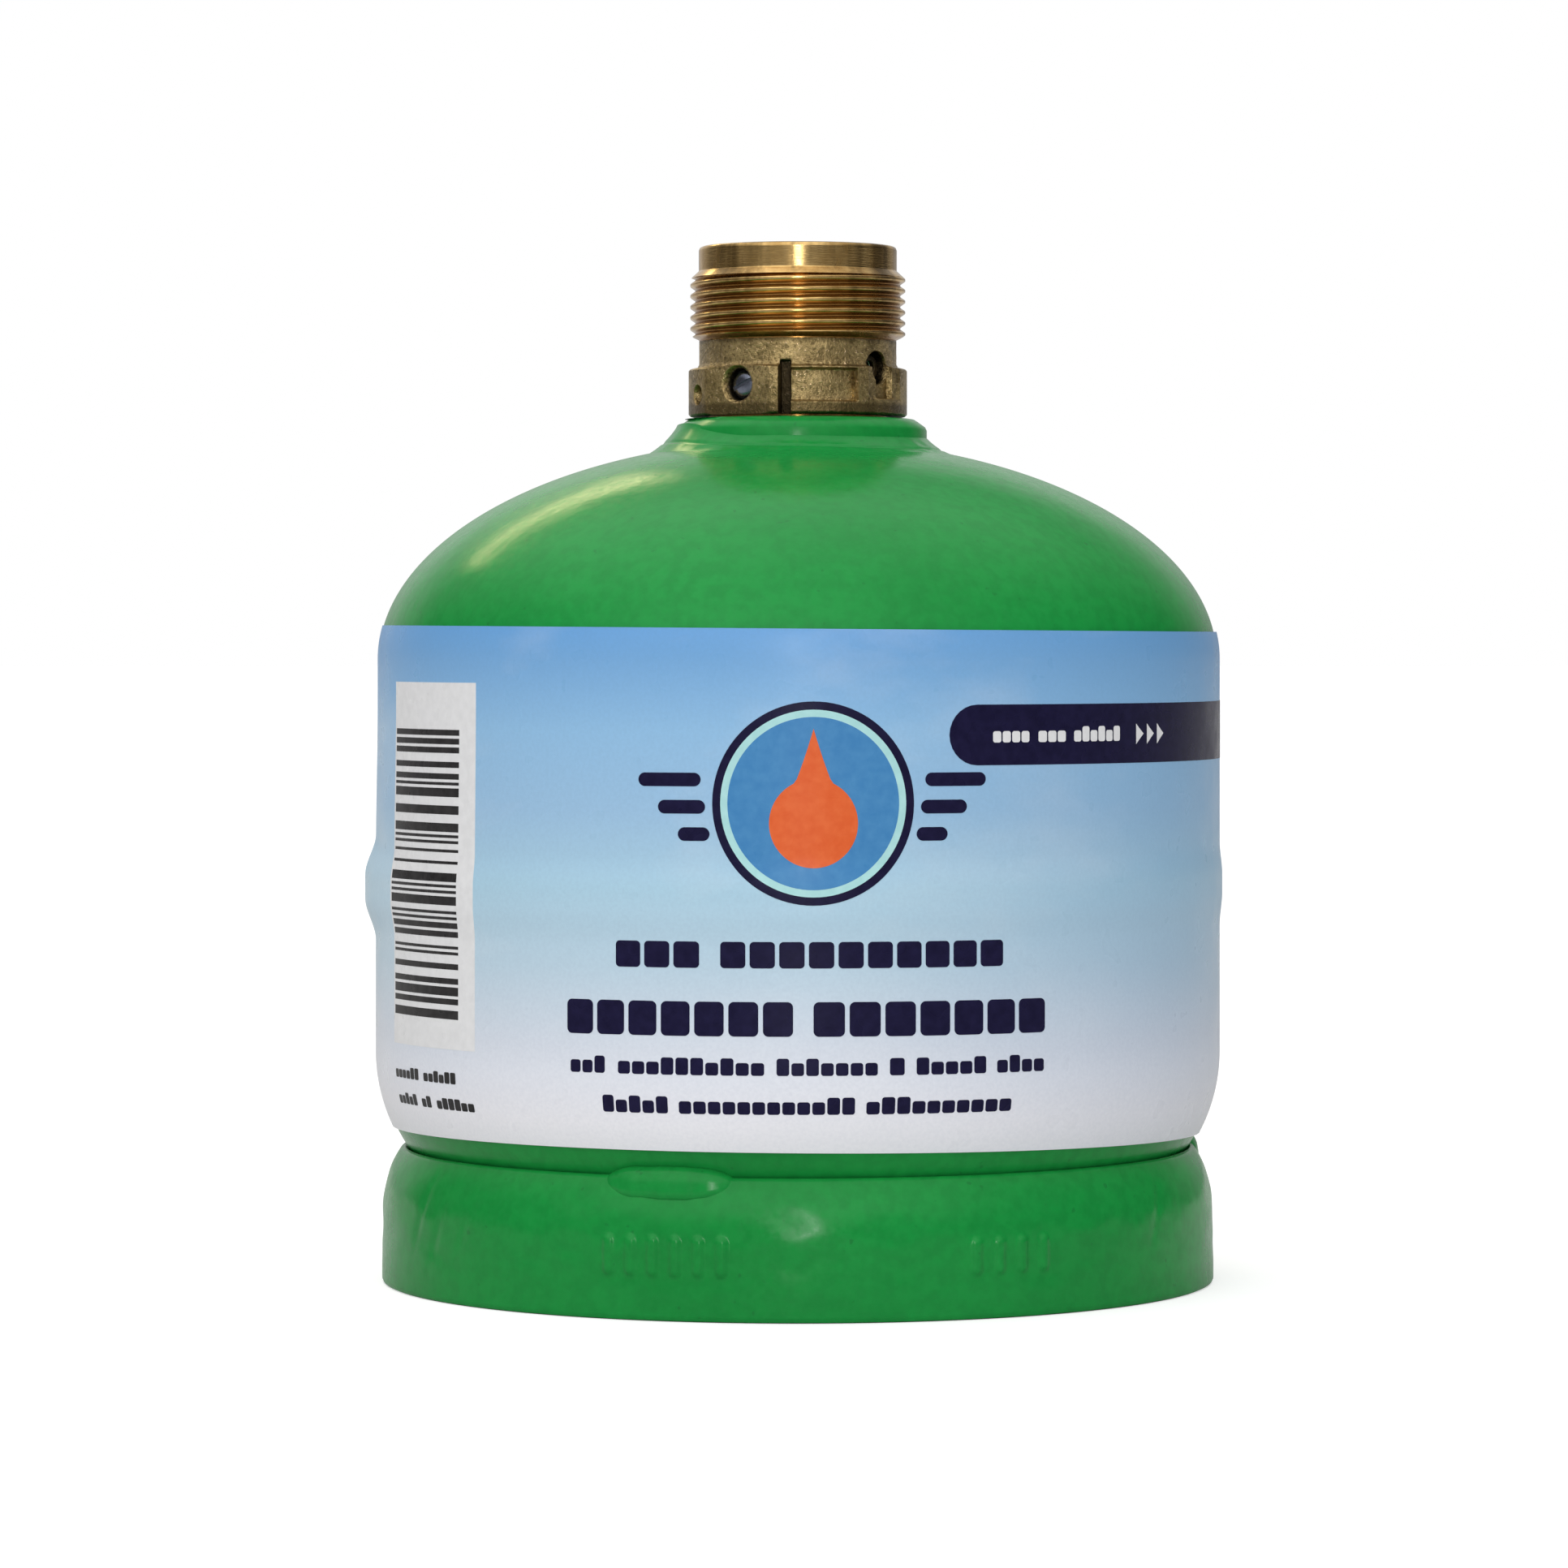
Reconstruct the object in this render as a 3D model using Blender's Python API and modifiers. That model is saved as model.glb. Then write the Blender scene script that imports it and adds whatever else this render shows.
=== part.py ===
"""A small refillable propane cylinder with its brass valve, standing on its foot ring.

Frame: metres, +Z up, origin at the centre of the foot ring's bottom rim, front towards -Y.
The dimensions below are millimetres, and MM turns them into metres. Heights are above the
surface that the foot ring stands on. An azimuth is in degrees: 0 is the front (-Y), and it
grows towards +X.
"""

import math

import bmesh
import bpy
from mathutils import Vector

MM = 0.001
MERGE = 0.00001
SMOOTH_ANGLE = math.radians(32.0)

# Facets round a full turn
BODY_STEPS = 40
VALVE_STEPS = 44
SMALL_STEPS = 20
DRILL_STEPS = 16
COIL_STEPS = 10

# Pressure shells
BODY_RADIUS = 49.2
WALL = 2.0
DOME_BASE = 72.85
DOME_RISE = 25.8
BOSS_HOLE_RADIUS = 13.3
UPPER_SHELL_EDGE = 47.6
JOGGLE_TOP = 54.0
JOGGLE_RADIUS = 46.9
JOGGLE_START = 45.8
JOGGLE_END = 43.5
KNUCKLE_RADIUS = 20.0
KNUCKLE_START = 27.0
KNUCKLE_ANGLE = 72.0
CROWN_RADIUS = 114.5

# Girth weld and the printed label that is wrapped over it
WELD_MIDDLE = 46.4
WELD_REACH = 3.6
WELD_CROWN = 50.5
FIT_GAP = 0.3
LABEL_GAP = 0.2
LABEL_THICKNESS = 0.2
LABEL_TOP = 76.4
LABEL_BOTTOM = 17.6
LABEL_BUMP_RADIUS = 51.05
LABEL_BUMP_REACH = 6.0
LABEL_BUMP_FLAT = 1.5
WELD_ROOT_GAP = 0.4
WELD_SHOULDER = 0.55

# Threaded boss and its weld
BOSS_TOP = 101.0
BOSS_SHOULDER = 98.0
BOSS_BOTTOM = 89.0
BOSS_RADIUS = 15.2
BOSS_SPIGOT_RADIUS = 13.0
BOSS_BORE_RADIUS = 10.9
BOSS_TOP_RADIUS = 13.8
BOSS_CHAMFER = 1.25
BOSS_WELD_TOP = 99.4
BOSS_WELD_RADIUS = 19.0
BOSS_WELD_TOE_LIFT = 0.35

# Foot ring and its three tack welds
FOOT_RADIUS = 48.8
FOOT_WALL = 1.5
FOOT_STRAIGHT = 7.4
FOOT_TOP = 15.2
FOOT_CURL_RADIUS = 20.0
FOOT_WELD_AZIMUTHS = (-18.0, 102.0, 222.0)
FOOT_WELD_HALF_ANGLE = 9.5
FOOT_WELD_SECTIONS = 9
FOOT_WELD_ROOT = (46.85, 15.85)

# Valve body: outside
VALVE_TOP = 121.3
COLLAR_RADIUS = 11.65
COLLAR_BOTTOM = 118.4
THREAD_RADIUS = 12.65
THREAD_ROOT_RADIUS = 11.87
THREAD_TOP = 117.4
THREAD_PITCH = 1.27
THREAD_RIDGES = 5
THREAD_CREST = 0.2
NECK_TOP = 109.6
NECK_RADIUS = 11.6
NECK_BOTTOM = 107.7
SKIRT_RADIUS = 12.85
SKIRT_TOP = 106.2
SKIRT_BOTTOM = 101.3
SHANK_TOP_RADIUS = 10.6
SHANK_BOTTOM_RADIUS = 10.2
SHANK_BOTTOM = 85.8

# Valve body: inside
THROAT_RADIUS = 8.2
THROAT_CHAMFER = 0.8
THROAT_FLOOR = 110.2
SEAT_HOLE_RADIUS = 2.9
SEAT_UNDERSIDE = 107.5
MAIN_BORE_RADIUS = 5.2

# Valve body: side features
CUT_OUTSIDE = 15.0
FLAT_DISTANCE = 12.0
FLAT_WIDTH = 12.0
RECESS_RADIUS = 12.3
RECESS_BOTTOM = 101.8
RECESS_TOP = 106.8
RECESS_AZIMUTHS = (-5.0, 33.0)
GROOVE_RADIUS = 11.8
GROOVE_TOP = 107.6
GROOVE_AZIMUTHS = (-10.0, -4.0)

# Bleed screw, its bore, its vent and its dip tube
BLEED_AZIMUTH = -36.0
BLEED_HEIGHT = 104.8
BLEED_BORE_RADIUS = 1.85
BLEED_SINK_RADIUS = 2.3
BLEED_SEAT = 9.0
BLEED_CHAMBER_RADIUS = 0.9
BLEED_CHAMBER_END = 6.4
BLEED_FACE = 11.6
BLEED_HEAD_BACK = 10.75
BLEED_CONE_BACK = 9.9
BLEED_TIP = 8.8
BLEED_HEAD_RADIUS = 1.65
BLEED_SHANK_RADIUS = 1.1
BLEED_TIP_RADIUS = 0.3
BLEED_SLOT_WIDTH = 0.5
BLEED_SLOT_DEPTH = 0.5
O_RING_RADIUS = 1.475
O_RING_SECTION_RADIUS = 0.27
O_RING_PLACE = 10.32
VENT_AZIMUTH = -66.0
VENT_HEIGHT = 103.7
VENT_RADIUS = 0.6
VENT_MOUTH_RADIUS = 1.1
VENT_MOUTH_DEPTH = 1.6
VENT_MEETS = 9.6
PASSAGE_DISTANCE = 7.7
PASSAGE_RADIUS = 0.8
TUBE_SOCKET_RADIUS = 1.75
TUBE_SOCKET_TOP = 89.0
TUBE_RADIUS = 1.5
TUBE_BORE_RADIUS = 1.0
TUBE_TOP = 88.7
TUBE_BOTTOM = 73.0

# Relief valve and its bore
RELIEF_AZIMUTH = 50.0
RELIEF_HEIGHT = 106.8
RELIEF_BORE_RADIUS = 1.6
RELIEF_SEAT = 7.0
RELIEF_INLET_RADIUS = 0.6
RELIEF_SLOT_FLOOR = 103.2
RELIEF_SLOT_DISTANCE = 11.3
RELIEF_POCKET_DISTANCE = 12.45
RELIEF_POCKET_WIDTH = 6.2
RELIEF_POCKET_TOP = 108.0
RELIEF_SEAL_RADIUS = 1.25
RELIEF_SEAL_PLACE = (7.3, 7.9)
RELIEF_HEAD_RADIUS = 1.3
RELIEF_HEAD_PLACE = (8.0, 8.7)
RELIEF_STEM_RADIUS = 0.45
RELIEF_STEM_END = 9.6
RELIEF_SPRING_RADIUS = 0.95
RELIEF_SPRING_WIRE = 0.26
RELIEF_SPRING_TURNS = 3
RELIEF_PLUG_RADIUS = 1.5
RELIEF_PLUG_VENT_RADIUS = 0.5
RELIEF_PLUG_PLACE = (10.9, 11.6)

# Check valve
STEM_TOP = 112.0
STEM_RADIUS = 1.5
POPPET_RADIUS = 4.3
POPPET_TOP = 105.9
POPPET_BOTTOM = 104.0
GUIDE_RADIUS = 1.4
GUIDE_BOTTOM = 92.0
EDGE_BREAK = 0.3
SEAL_HOLE_RADIUS = 1.7
SEAL_RADIUS = 4.2
SEAL_TOP = 107.2
SEAL_BOTTOM = 106.0
CHECK_SPRING_RADIUS = 3.6
CHECK_SPRING_WIRE = 0.6
CHECK_SPRING_TURNS = 6
CAGE_TOP = 95.0
CAGE_BOTTOM = 93.0
CAGE_RADIUS = 5.0
CAGE_HOLE_RADIUS = 1.75
CAGE_PORT_RADIUS = 0.9
CAGE_PORT_DISTANCE = 3.35
CAGE_PORTS = 4
GASKET_HOLE_RADIUS = 5.2
GASKET_RADIUS = 8.0
GASKET_TOP = 111.8
GASKET_BOTTOM = 110.35


# --- scene, collections and materials ---------------------------------------------------------


def clear_scene():
    for obj in list(bpy.data.objects):
        bpy.data.objects.remove(obj, do_unlink=True)


def new_collection(name):
    collection = bpy.data.collections.new(name)
    bpy.context.scene.collection.children.link(collection)
    return collection


def material(name, colour, roughness, metallic):
    made = bpy.data.materials.new(name)
    made.use_nodes = True
    shader = made.node_tree.nodes["Principled BSDF"]
    shader.inputs["Base Color"].default_value = (*colour, 1.0)
    shader.inputs["Roughness"].default_value = roughness
    shader.inputs["Metallic"].default_value = metallic
    return made


clear_scene()
PARTS = new_collection("propane_tank")
CUTTERS = new_collection("cutters")

GREEN_PAINT = material("green_paint", (0.022, 0.35, 0.082), 0.22, 0.0)
PRINTED_FILM = material("printed_film", (0.32, 0.52, 0.75), 0.30, 0.0)
MACHINED_BRASS = material("machined_brass", (0.60, 0.42, 0.15), 0.28, 1.0)
BLACK_RUBBER = material("black_rubber", (0.02, 0.02, 0.02), 0.65, 0.0)
SPRING_STEEL = material("spring_steel", (0.50, 0.50, 0.51), 0.30, 1.0)
PLATED_STEEL = material("plated_steel", (0.42, 0.45, 0.52), 0.30, 1.0)


# --- modelling helpers ------------------------------------------------------------------------


def part(name, data, finish):
    obj = bpy.data.objects.new(name, data)
    data.materials.append(finish)
    PARTS.objects.link(obj)
    return obj


def smooth(mesh):
    mesh.shade_smooth()
    mesh.set_sharp_from_angle(angle=SMOOTH_ANGLE)


def frozen(obj):
    """Replaces an object's mesh with its evaluated mesh, so that its edges can be shaded."""
    bpy.context.view_layer.update()
    evaluated = obj.evaluated_get(bpy.context.evaluated_depsgraph_get())
    obj.data = bpy.data.meshes.new_from_object(evaluated)
    obj.modifiers.clear()
    smooth(obj.data)
    return obj


def turned(name, outline, steps, finish, ring=True):
    """A solid turned about local Z from an outline of (radius, height) points.

    The outline runs down the outer side. A ring's outline closes on itself, and any other
    starts and ends on the axis.
    """
    points = [(radius * MM, 0.0, height * MM) for radius, height in outline]
    edges = [(index, index + 1) for index in range(len(points) - 1)]
    if ring:
        edges.append((len(points) - 1, 0))
    mesh = bpy.data.meshes.new(name)
    mesh.from_pydata(points, edges, [])
    obj = part(name, mesh, finish)
    screw = obj.modifiers.new("turn", "SCREW")
    screw.steps = steps
    screw.render_steps = steps
    screw.use_merge_vertices = True
    screw.merge_threshold = MERGE
    return frozen(obj)


def coil(name, radius, wire, ends, turns):
    """A compression spring about local Z, given by its mean radius, wire and end heights."""
    bottom, top = ends
    curve = bpy.data.curves.new(name, "CURVE")
    curve.dimensions = "3D"
    curve.bevel_depth = 0.5 * wire * MM
    curve.bevel_resolution = 2
    curve.use_fill_caps = True
    spline = curve.splines.new("POLY")
    count = turns * COIL_STEPS
    spline.points.add(count)
    first = bottom + 0.5 * wire
    rise = top - bottom - wire
    for index in range(count + 1):
        angle = math.tau * index / COIL_STEPS
        height = first + rise * index / count
        place = (radius * MM * math.cos(angle), radius * MM * math.sin(angle), height * MM, 1.0)
        spline.points[index].co = place
    return part(name, curve, SPRING_STEEL)


def lofted_mesh(name, rings):
    """A closed mesh through rings of points, with a flat cap on the first and the last."""
    form = bmesh.new()
    loops = [[form.verts.new(Vector(point) * MM) for point in ring] for ring in rings]
    for lower, upper in zip(loops, loops[1:]):
        for index, vertex in enumerate(lower):
            form.faces.new((vertex, lower[index - 1], upper[index - 1], upper[index]))
    form.faces.new(loops[0])
    form.faces.new(reversed(loops[-1]))
    bmesh.ops.recalc_face_normals(form, faces=form.faces)
    mesh = bpy.data.meshes.new(name)
    form.to_mesh(mesh)
    form.free()
    return mesh


def cutter(name, mesh):
    obj = bpy.data.objects.new(name, mesh)
    obj.hide_render = True
    obj.display_type = "WIRE"
    CUTTERS.objects.link(obj)
    return obj


def drill(name, radius, start, end, mouth_radius=None):
    """A cutter along local Z from start to end, tapered when its mouth has another radius."""
    mouth_radius = radius if mouth_radius is None else mouth_radius
    form = bmesh.new()
    bmesh.ops.create_cone(
        form,
        cap_ends=True,
        segments=DRILL_STEPS,
        radius1=radius * MM,
        radius2=mouth_radius * MM,
        depth=(end - start) * MM,
    )
    bmesh.ops.translate(form, verts=form.verts, vec=(0.0, 0.0, 0.5 * (start + end) * MM))
    mesh = bpy.data.meshes.new(name)
    form.to_mesh(mesh)
    form.free()
    return cutter(name, mesh)


def block(name, low, high):
    """A box cutter between two corners."""
    middle = (Vector(low) + Vector(high)) * 0.5 * MM
    size = (Vector(high) - Vector(low)) * MM
    form = bmesh.new()
    bmesh.ops.create_cube(form, size=1.0)
    bmesh.ops.scale(form, verts=form.verts, vec=size)
    bmesh.ops.translate(form, verts=form.verts, vec=middle)
    mesh = bpy.data.meshes.new(name)
    form.to_mesh(mesh)
    form.free()
    return cutter(name, mesh)


def sector(name, radius, azimuths, bottom, top):
    """A cutter shaped as a curved slab outside a radius, between two azimuths."""
    first, last = azimuths
    steps = max(2, round((last - first) / 6.0))
    angles = [first + (last - first) * index / steps for index in range(steps + 1)]
    inner = [outward(angle) * radius for angle in angles]
    outer = [outward(angle) * CUT_OUTSIDE for angle in reversed(angles)]
    rings = [[point + Vector((0.0, 0.0, height)) for point in inner + outer] for height in (bottom, top)]
    return cutter(name, lofted_mesh(name, rings))


def cut(obj, *tools):
    for tool in tools:
        boolean = obj.modifiers.new(tool.name, "BOOLEAN")
        boolean.operation = "DIFFERENCE"
        boolean.solver = "EXACT"
        boolean.object = tool


def outward(azimuth):
    """The unit vector from the tank's axis towards an azimuth."""
    angle = math.radians(azimuth)
    return Vector((math.sin(angle), -math.cos(angle), 0.0))


def radial_frame(name, azimuth, height):
    """An empty on the tank's axis whose local Z points outwards and whose local Y points up."""
    empty = bpy.data.objects.new(name, None)
    empty.empty_display_size = 0.01
    empty.location = (0.0, 0.0, height * MM)
    empty.rotation_euler = (math.radians(90.0), 0.0, math.radians(azimuth))
    PARTS.objects.link(empty)
    return empty


def hang(parent, *children):
    for child in children:
        child.parent = parent


def arc(centre, radius, first, last, steps):
    """Points of a circular arc in the (radius, height) plane, with its angles in degrees."""
    points = []
    for index in range(steps + 1):
        angle = math.radians(first + (last - first) * index / steps)
        points.append((centre[0] + radius * math.cos(angle), centre[1] + radius * math.sin(angle)))
    return points


def dome_height(radius, inset=0.0):
    """Height of the upper dome's surface, inset by a distance, at a radius."""
    across = radius / (BODY_RADIUS - inset)
    return DOME_BASE + (DOME_RISE - inset) * math.sqrt(1.0 - across * across)


# --- pressure vessel --------------------------------------------------------------------------


def dome_arc(inset, steps=9):
    """The upper dome from the boss hole down to the straight wall."""
    half_width = BODY_RADIUS - inset
    rise = DOME_RISE - inset
    start = math.acos(BOSS_HOLE_RADIUS / half_width)
    angles = [start * (1.0 - index / steps) for index in range(steps + 1)]
    return [(half_width * math.cos(a), DOME_BASE + rise * math.sin(a)) for a in angles]


def upper_shell():
    inner_radius = BODY_RADIUS - WALL
    outside = dome_arc(0.0) + [(BODY_RADIUS, UPPER_SHELL_EDGE)]
    inside = [(inner_radius, UPPER_SHELL_EDGE)] + dome_arc(WALL)[::-1]
    turned("upper_shell", outside + inside, BODY_STEPS, GREEN_PAINT)


def base_arc(inset):
    """The lower knuckle and crown, from the straight wall in to the axis."""
    knuckle_centre = (BODY_RADIUS - KNUCKLE_RADIUS, KNUCKLE_START)
    knuckle = arc(knuckle_centre, KNUCKLE_RADIUS - inset, 0.0, -KNUCKLE_ANGLE, 7)
    meet = math.radians(KNUCKLE_ANGLE)
    crown_height = KNUCKLE_START + (CROWN_RADIUS - KNUCKLE_RADIUS) * math.sin(meet)
    crown = arc((0.0, crown_height), CROWN_RADIUS - inset, -KNUCKLE_ANGLE, -90.0, 4)
    return knuckle + crown[1:-1] + [(0.0, crown[-1][1])]


def lower_shell():
    outside = [
        (JOGGLE_RADIUS, JOGGLE_TOP),
        (JOGGLE_RADIUS, JOGGLE_START),
        (BODY_RADIUS, JOGGLE_END),
    ]
    inside = [
        (BODY_RADIUS - WALL, JOGGLE_END - WALL * 0.4),
        (JOGGLE_RADIUS - WALL, JOGGLE_START - WALL * 0.4),
        (JOGGLE_RADIUS - WALL, JOGGLE_TOP),
    ]
    outline = outside + base_arc(0.0) + base_arc(WALL)[::-1] + inside
    # The two points on the axis stay apart, so the outline is open there and joined at its top.
    split = outline.index(base_arc(0.0)[-1]) + 1
    turned("lower_shell", outline[split:] + outline[:split], BODY_STEPS, GREEN_PAINT, ring=False)


def girth_weld():
    toe_radius = BODY_RADIUS + FIT_GAP
    shoulder_radius = 0.5 * (toe_radius + WELD_CROWN)
    bead = [
        (toe_radius, WELD_MIDDLE + WELD_REACH),
        (shoulder_radius, WELD_MIDDLE + WELD_SHOULDER * WELD_REACH),
        (WELD_CROWN, WELD_MIDDLE),
        (shoulder_radius, WELD_MIDDLE - WELD_SHOULDER * WELD_REACH),
        (toe_radius, WELD_MIDDLE - WELD_REACH),
    ]
    root_radius = JOGGLE_RADIUS + WELD_ROOT_GAP
    root = [
        (toe_radius, JOGGLE_END + 0.2),
        (root_radius, JOGGLE_START + 0.2),
        (root_radius, UPPER_SHELL_EDGE - FIT_GAP),
        (toe_radius, UPPER_SHELL_EDGE - FIT_GAP),
    ]
    turned("girth_weld", bead + root, BODY_STEPS, GREEN_PAINT)


def label_side(offset):
    """One face of the label, top to bottom, at a distance outside the steel."""
    radius = BODY_RADIUS + offset
    bump = LABEL_BUMP_RADIUS - LABEL_GAP - LABEL_THICKNESS + offset
    end_sine = (KNUCKLE_START - LABEL_BOTTOM) / (KNUCKLE_RADIUS + offset)
    end_angle = -math.degrees(math.asin(end_sine))
    straight = [
        (radius, LABEL_TOP),
        (radius, WELD_MIDDLE + LABEL_BUMP_REACH),
        (bump, WELD_MIDDLE + LABEL_BUMP_FLAT),
        (bump, WELD_MIDDLE - LABEL_BUMP_FLAT),
        (radius, WELD_MIDDLE - LABEL_BUMP_REACH),
    ]
    knuckle_centre = (BODY_RADIUS - KNUCKLE_RADIUS, KNUCKLE_START)
    return straight + arc(knuckle_centre, KNUCKLE_RADIUS + offset, 0.0, end_angle, 3)


def label_wrap():
    outline = label_side(LABEL_GAP + LABEL_THICKNESS) + label_side(LABEL_GAP)[::-1]
    turned("label_wrap", outline, BODY_STEPS, PRINTED_FILM)


def valve_boss():
    outline = [
        (BOSS_TOP_RADIUS, BOSS_TOP),
        (BOSS_TOP_RADIUS + 0.5, BOSS_TOP - 0.3),
        (BOSS_RADIUS, BOSS_TOP - BOSS_CHAMFER),
        (BOSS_RADIUS, BOSS_SHOULDER),
        (BOSS_SPIGOT_RADIUS, BOSS_SHOULDER),
        (BOSS_SPIGOT_RADIUS, BOSS_BOTTOM),
        (BOSS_BORE_RADIUS, BOSS_BOTTOM),
        (BOSS_BORE_RADIUS, BOSS_TOP),
    ]
    turned("valve_boss", outline, VALVE_STEPS, GREEN_PAINT)


def boss_weld():
    inner = BOSS_RADIUS + FIT_GAP
    toe = dome_height(BOSS_WELD_RADIUS) + FIT_GAP
    outline = [
        (inner, BOSS_WELD_TOP),
        (inner + 0.6, BOSS_WELD_TOP - 0.7),
        (inner + 1.5, BOSS_WELD_TOP - 1.55),
        (BOSS_WELD_RADIUS - 0.8, toe + BOSS_WELD_TOE_LIFT),
        (BOSS_WELD_RADIUS, toe + 0.05),
        (BOSS_WELD_RADIUS, toe),
        (inner, dome_height(inner) + FIT_GAP),
    ]
    turned("boss_weld", outline, VALVE_STEPS, GREEN_PAINT)


def foot_ring():
    curl_centre = (FOOT_RADIUS - FOOT_CURL_RADIUS, FOOT_STRAIGHT)
    top_angle = math.degrees(math.asin((FOOT_TOP - FOOT_STRAIGHT) / FOOT_CURL_RADIUS))
    outside = arc(curl_centre, FOOT_CURL_RADIUS, top_angle, 0.0, 4) + [(FOOT_RADIUS, 0.0)]
    inner_radius = FOOT_CURL_RADIUS - FOOT_WALL
    inner_angle = math.degrees(math.asin((FOOT_TOP - FOOT_STRAIGHT) / inner_radius))
    inside = [(FOOT_RADIUS - FOOT_WALL, 0.0)] + arc(curl_centre, inner_radius, 0.0, inner_angle, 4)
    turned("foot_ring", outside + inside, BODY_STEPS, GREEN_PAINT)


def foot_weld(number, azimuth):
    """A short bead in the crease between the foot ring's top edge and the lower shell."""
    root = FOOT_WELD_ROOT
    section = [
        (47.0, 17.15),
        (48.0, 16.6),
        (48.6, 15.2),
        (48.35, 13.4),
        (48.15, 13.3),
        (47.7, 14.6),
        (47.45, 15.5),
        (45.95, 15.5),
        (46.6, 16.6),
    ]
    rings = []
    for index in range(FOOT_WELD_SECTIONS):
        along = 2.0 * index / (FOOT_WELD_SECTIONS - 1) - 1.0
        size = math.sqrt(1.0 - 0.88 * along * along)
        direction = outward(azimuth + along * FOOT_WELD_HALF_ANGLE)
        ring = []
        for radius, height in section:
            reach = root[0] + size * (radius - root[0])
            level = root[1] + size * (height - root[1])
            ring.append(direction * reach + Vector((0.0, 0.0, level)))
        rings.append(ring)
    name = f"foot_weld_{number}"
    mesh = lofted_mesh(name, rings)
    part(name, mesh, GREEN_PAINT)
    smooth(mesh)


# --- valve body -------------------------------------------------------------------------------


def thread_outline():
    """The 1 inch, 20 to the inch thread, as ridges one pitch apart, top to bottom."""
    crest = THREAD_CREST
    points = []
    for ridge in range(THREAD_RIDGES):
        top = THREAD_TOP - ridge * THREAD_PITCH
        points.append((THREAD_RADIUS, top))
        points.append((THREAD_RADIUS, top - crest))
        points.append((THREAD_ROOT_RADIUS, top - 0.5 * (THREAD_PITCH + crest)))
    last = THREAD_TOP - THREAD_RIDGES * THREAD_PITCH
    return points + [(THREAD_RADIUS, last), (THREAD_RADIUS, last - crest)]


def valve_outline():
    outside = [
        (THROAT_RADIUS + THROAT_CHAMFER, VALVE_TOP),
        (COLLAR_RADIUS - 0.4, VALVE_TOP),
        (COLLAR_RADIUS, VALVE_TOP - 0.4),
        (COLLAR_RADIUS, COLLAR_BOTTOM),
    ]
    below_thread = [
        (NECK_RADIUS, NECK_TOP),
        (NECK_RADIUS, NECK_BOTTOM),
        (SKIRT_RADIUS, SKIRT_TOP),
        (SKIRT_RADIUS, SKIRT_BOTTOM),
        (SHANK_TOP_RADIUS, SKIRT_BOTTOM),
        (SHANK_BOTTOM_RADIUS, SHANK_BOTTOM + 0.6),
        (SHANK_BOTTOM_RADIUS - 0.6, SHANK_BOTTOM),
    ]
    inside = [
        (MAIN_BORE_RADIUS, SHANK_BOTTOM),
        (MAIN_BORE_RADIUS, SEAT_UNDERSIDE),
        (SEAT_HOLE_RADIUS, SEAT_UNDERSIDE),
        (SEAT_HOLE_RADIUS, THROAT_FLOOR),
        (THROAT_RADIUS, THROAT_FLOOR),
        (THROAT_RADIUS, VALVE_TOP - THROAT_CHAMFER),
    ]
    return outside + thread_outline() + below_thread + inside


def bleed_cutters(frame):
    """The wrench flat, the screw's bore and seat, its vent and the dip tube's passage."""
    below = SKIRT_BOTTOM - 1.0 - BLEED_HEIGHT
    above = NECK_BOTTOM - BLEED_HEIGHT
    half = 0.5 * FLAT_WIDTH
    flat = block("bleed_flat", (-half, below, FLAT_DISTANCE), (half, above, CUT_OUTSIDE))
    bore = drill("bleed_bore", BLEED_BORE_RADIUS, BLEED_SEAT, CUT_OUTSIDE)
    sink_depth = BLEED_SINK_RADIUS - BLEED_BORE_RADIUS
    sink_start = FLAT_DISTANCE - sink_depth
    sink = drill("bleed_sink", BLEED_BORE_RADIUS, sink_start, FLAT_DISTANCE + 0.01, BLEED_SINK_RADIUS)
    chamber = drill("bleed_chamber", BLEED_CHAMBER_RADIUS, BLEED_CHAMBER_END, BLEED_SEAT + 0.2)
    hang(frame, flat, bore, sink, chamber)

    passage_place = outward(BLEED_AZIMUTH) * PASSAGE_DISTANCE * MM
    passage = drill("level_passage", PASSAGE_RADIUS, SHANK_BOTTOM - 1.0, BLEED_HEIGHT)
    socket = drill("tube_socket", TUBE_SOCKET_RADIUS, SHANK_BOTTOM - 1.0, TUBE_SOCKET_TOP)
    passage.location = passage_place
    socket.location = passage_place

    lift = Vector((0.0, 0.0, VENT_HEIGHT))
    meets = outward(BLEED_AZIMUTH) * VENT_MEETS + lift
    mouth_place = outward(VENT_AZIMUTH) * SKIRT_RADIUS + lift
    length = (mouth_place - meets).length
    vent = drill("bleed_vent", VENT_RADIUS, 0.0, length)
    mouth = drill("bleed_vent_mouth", VENT_MOUTH_RADIUS, length - VENT_MOUTH_DEPTH, length + 1.0)
    for tool in (vent, mouth):
        tool.location = meets * MM
        tool.rotation_euler = (mouth_place - meets).to_track_quat("Z", "Y").to_euler()
    return flat, bore, sink, chamber, passage, socket, vent, mouth


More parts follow.
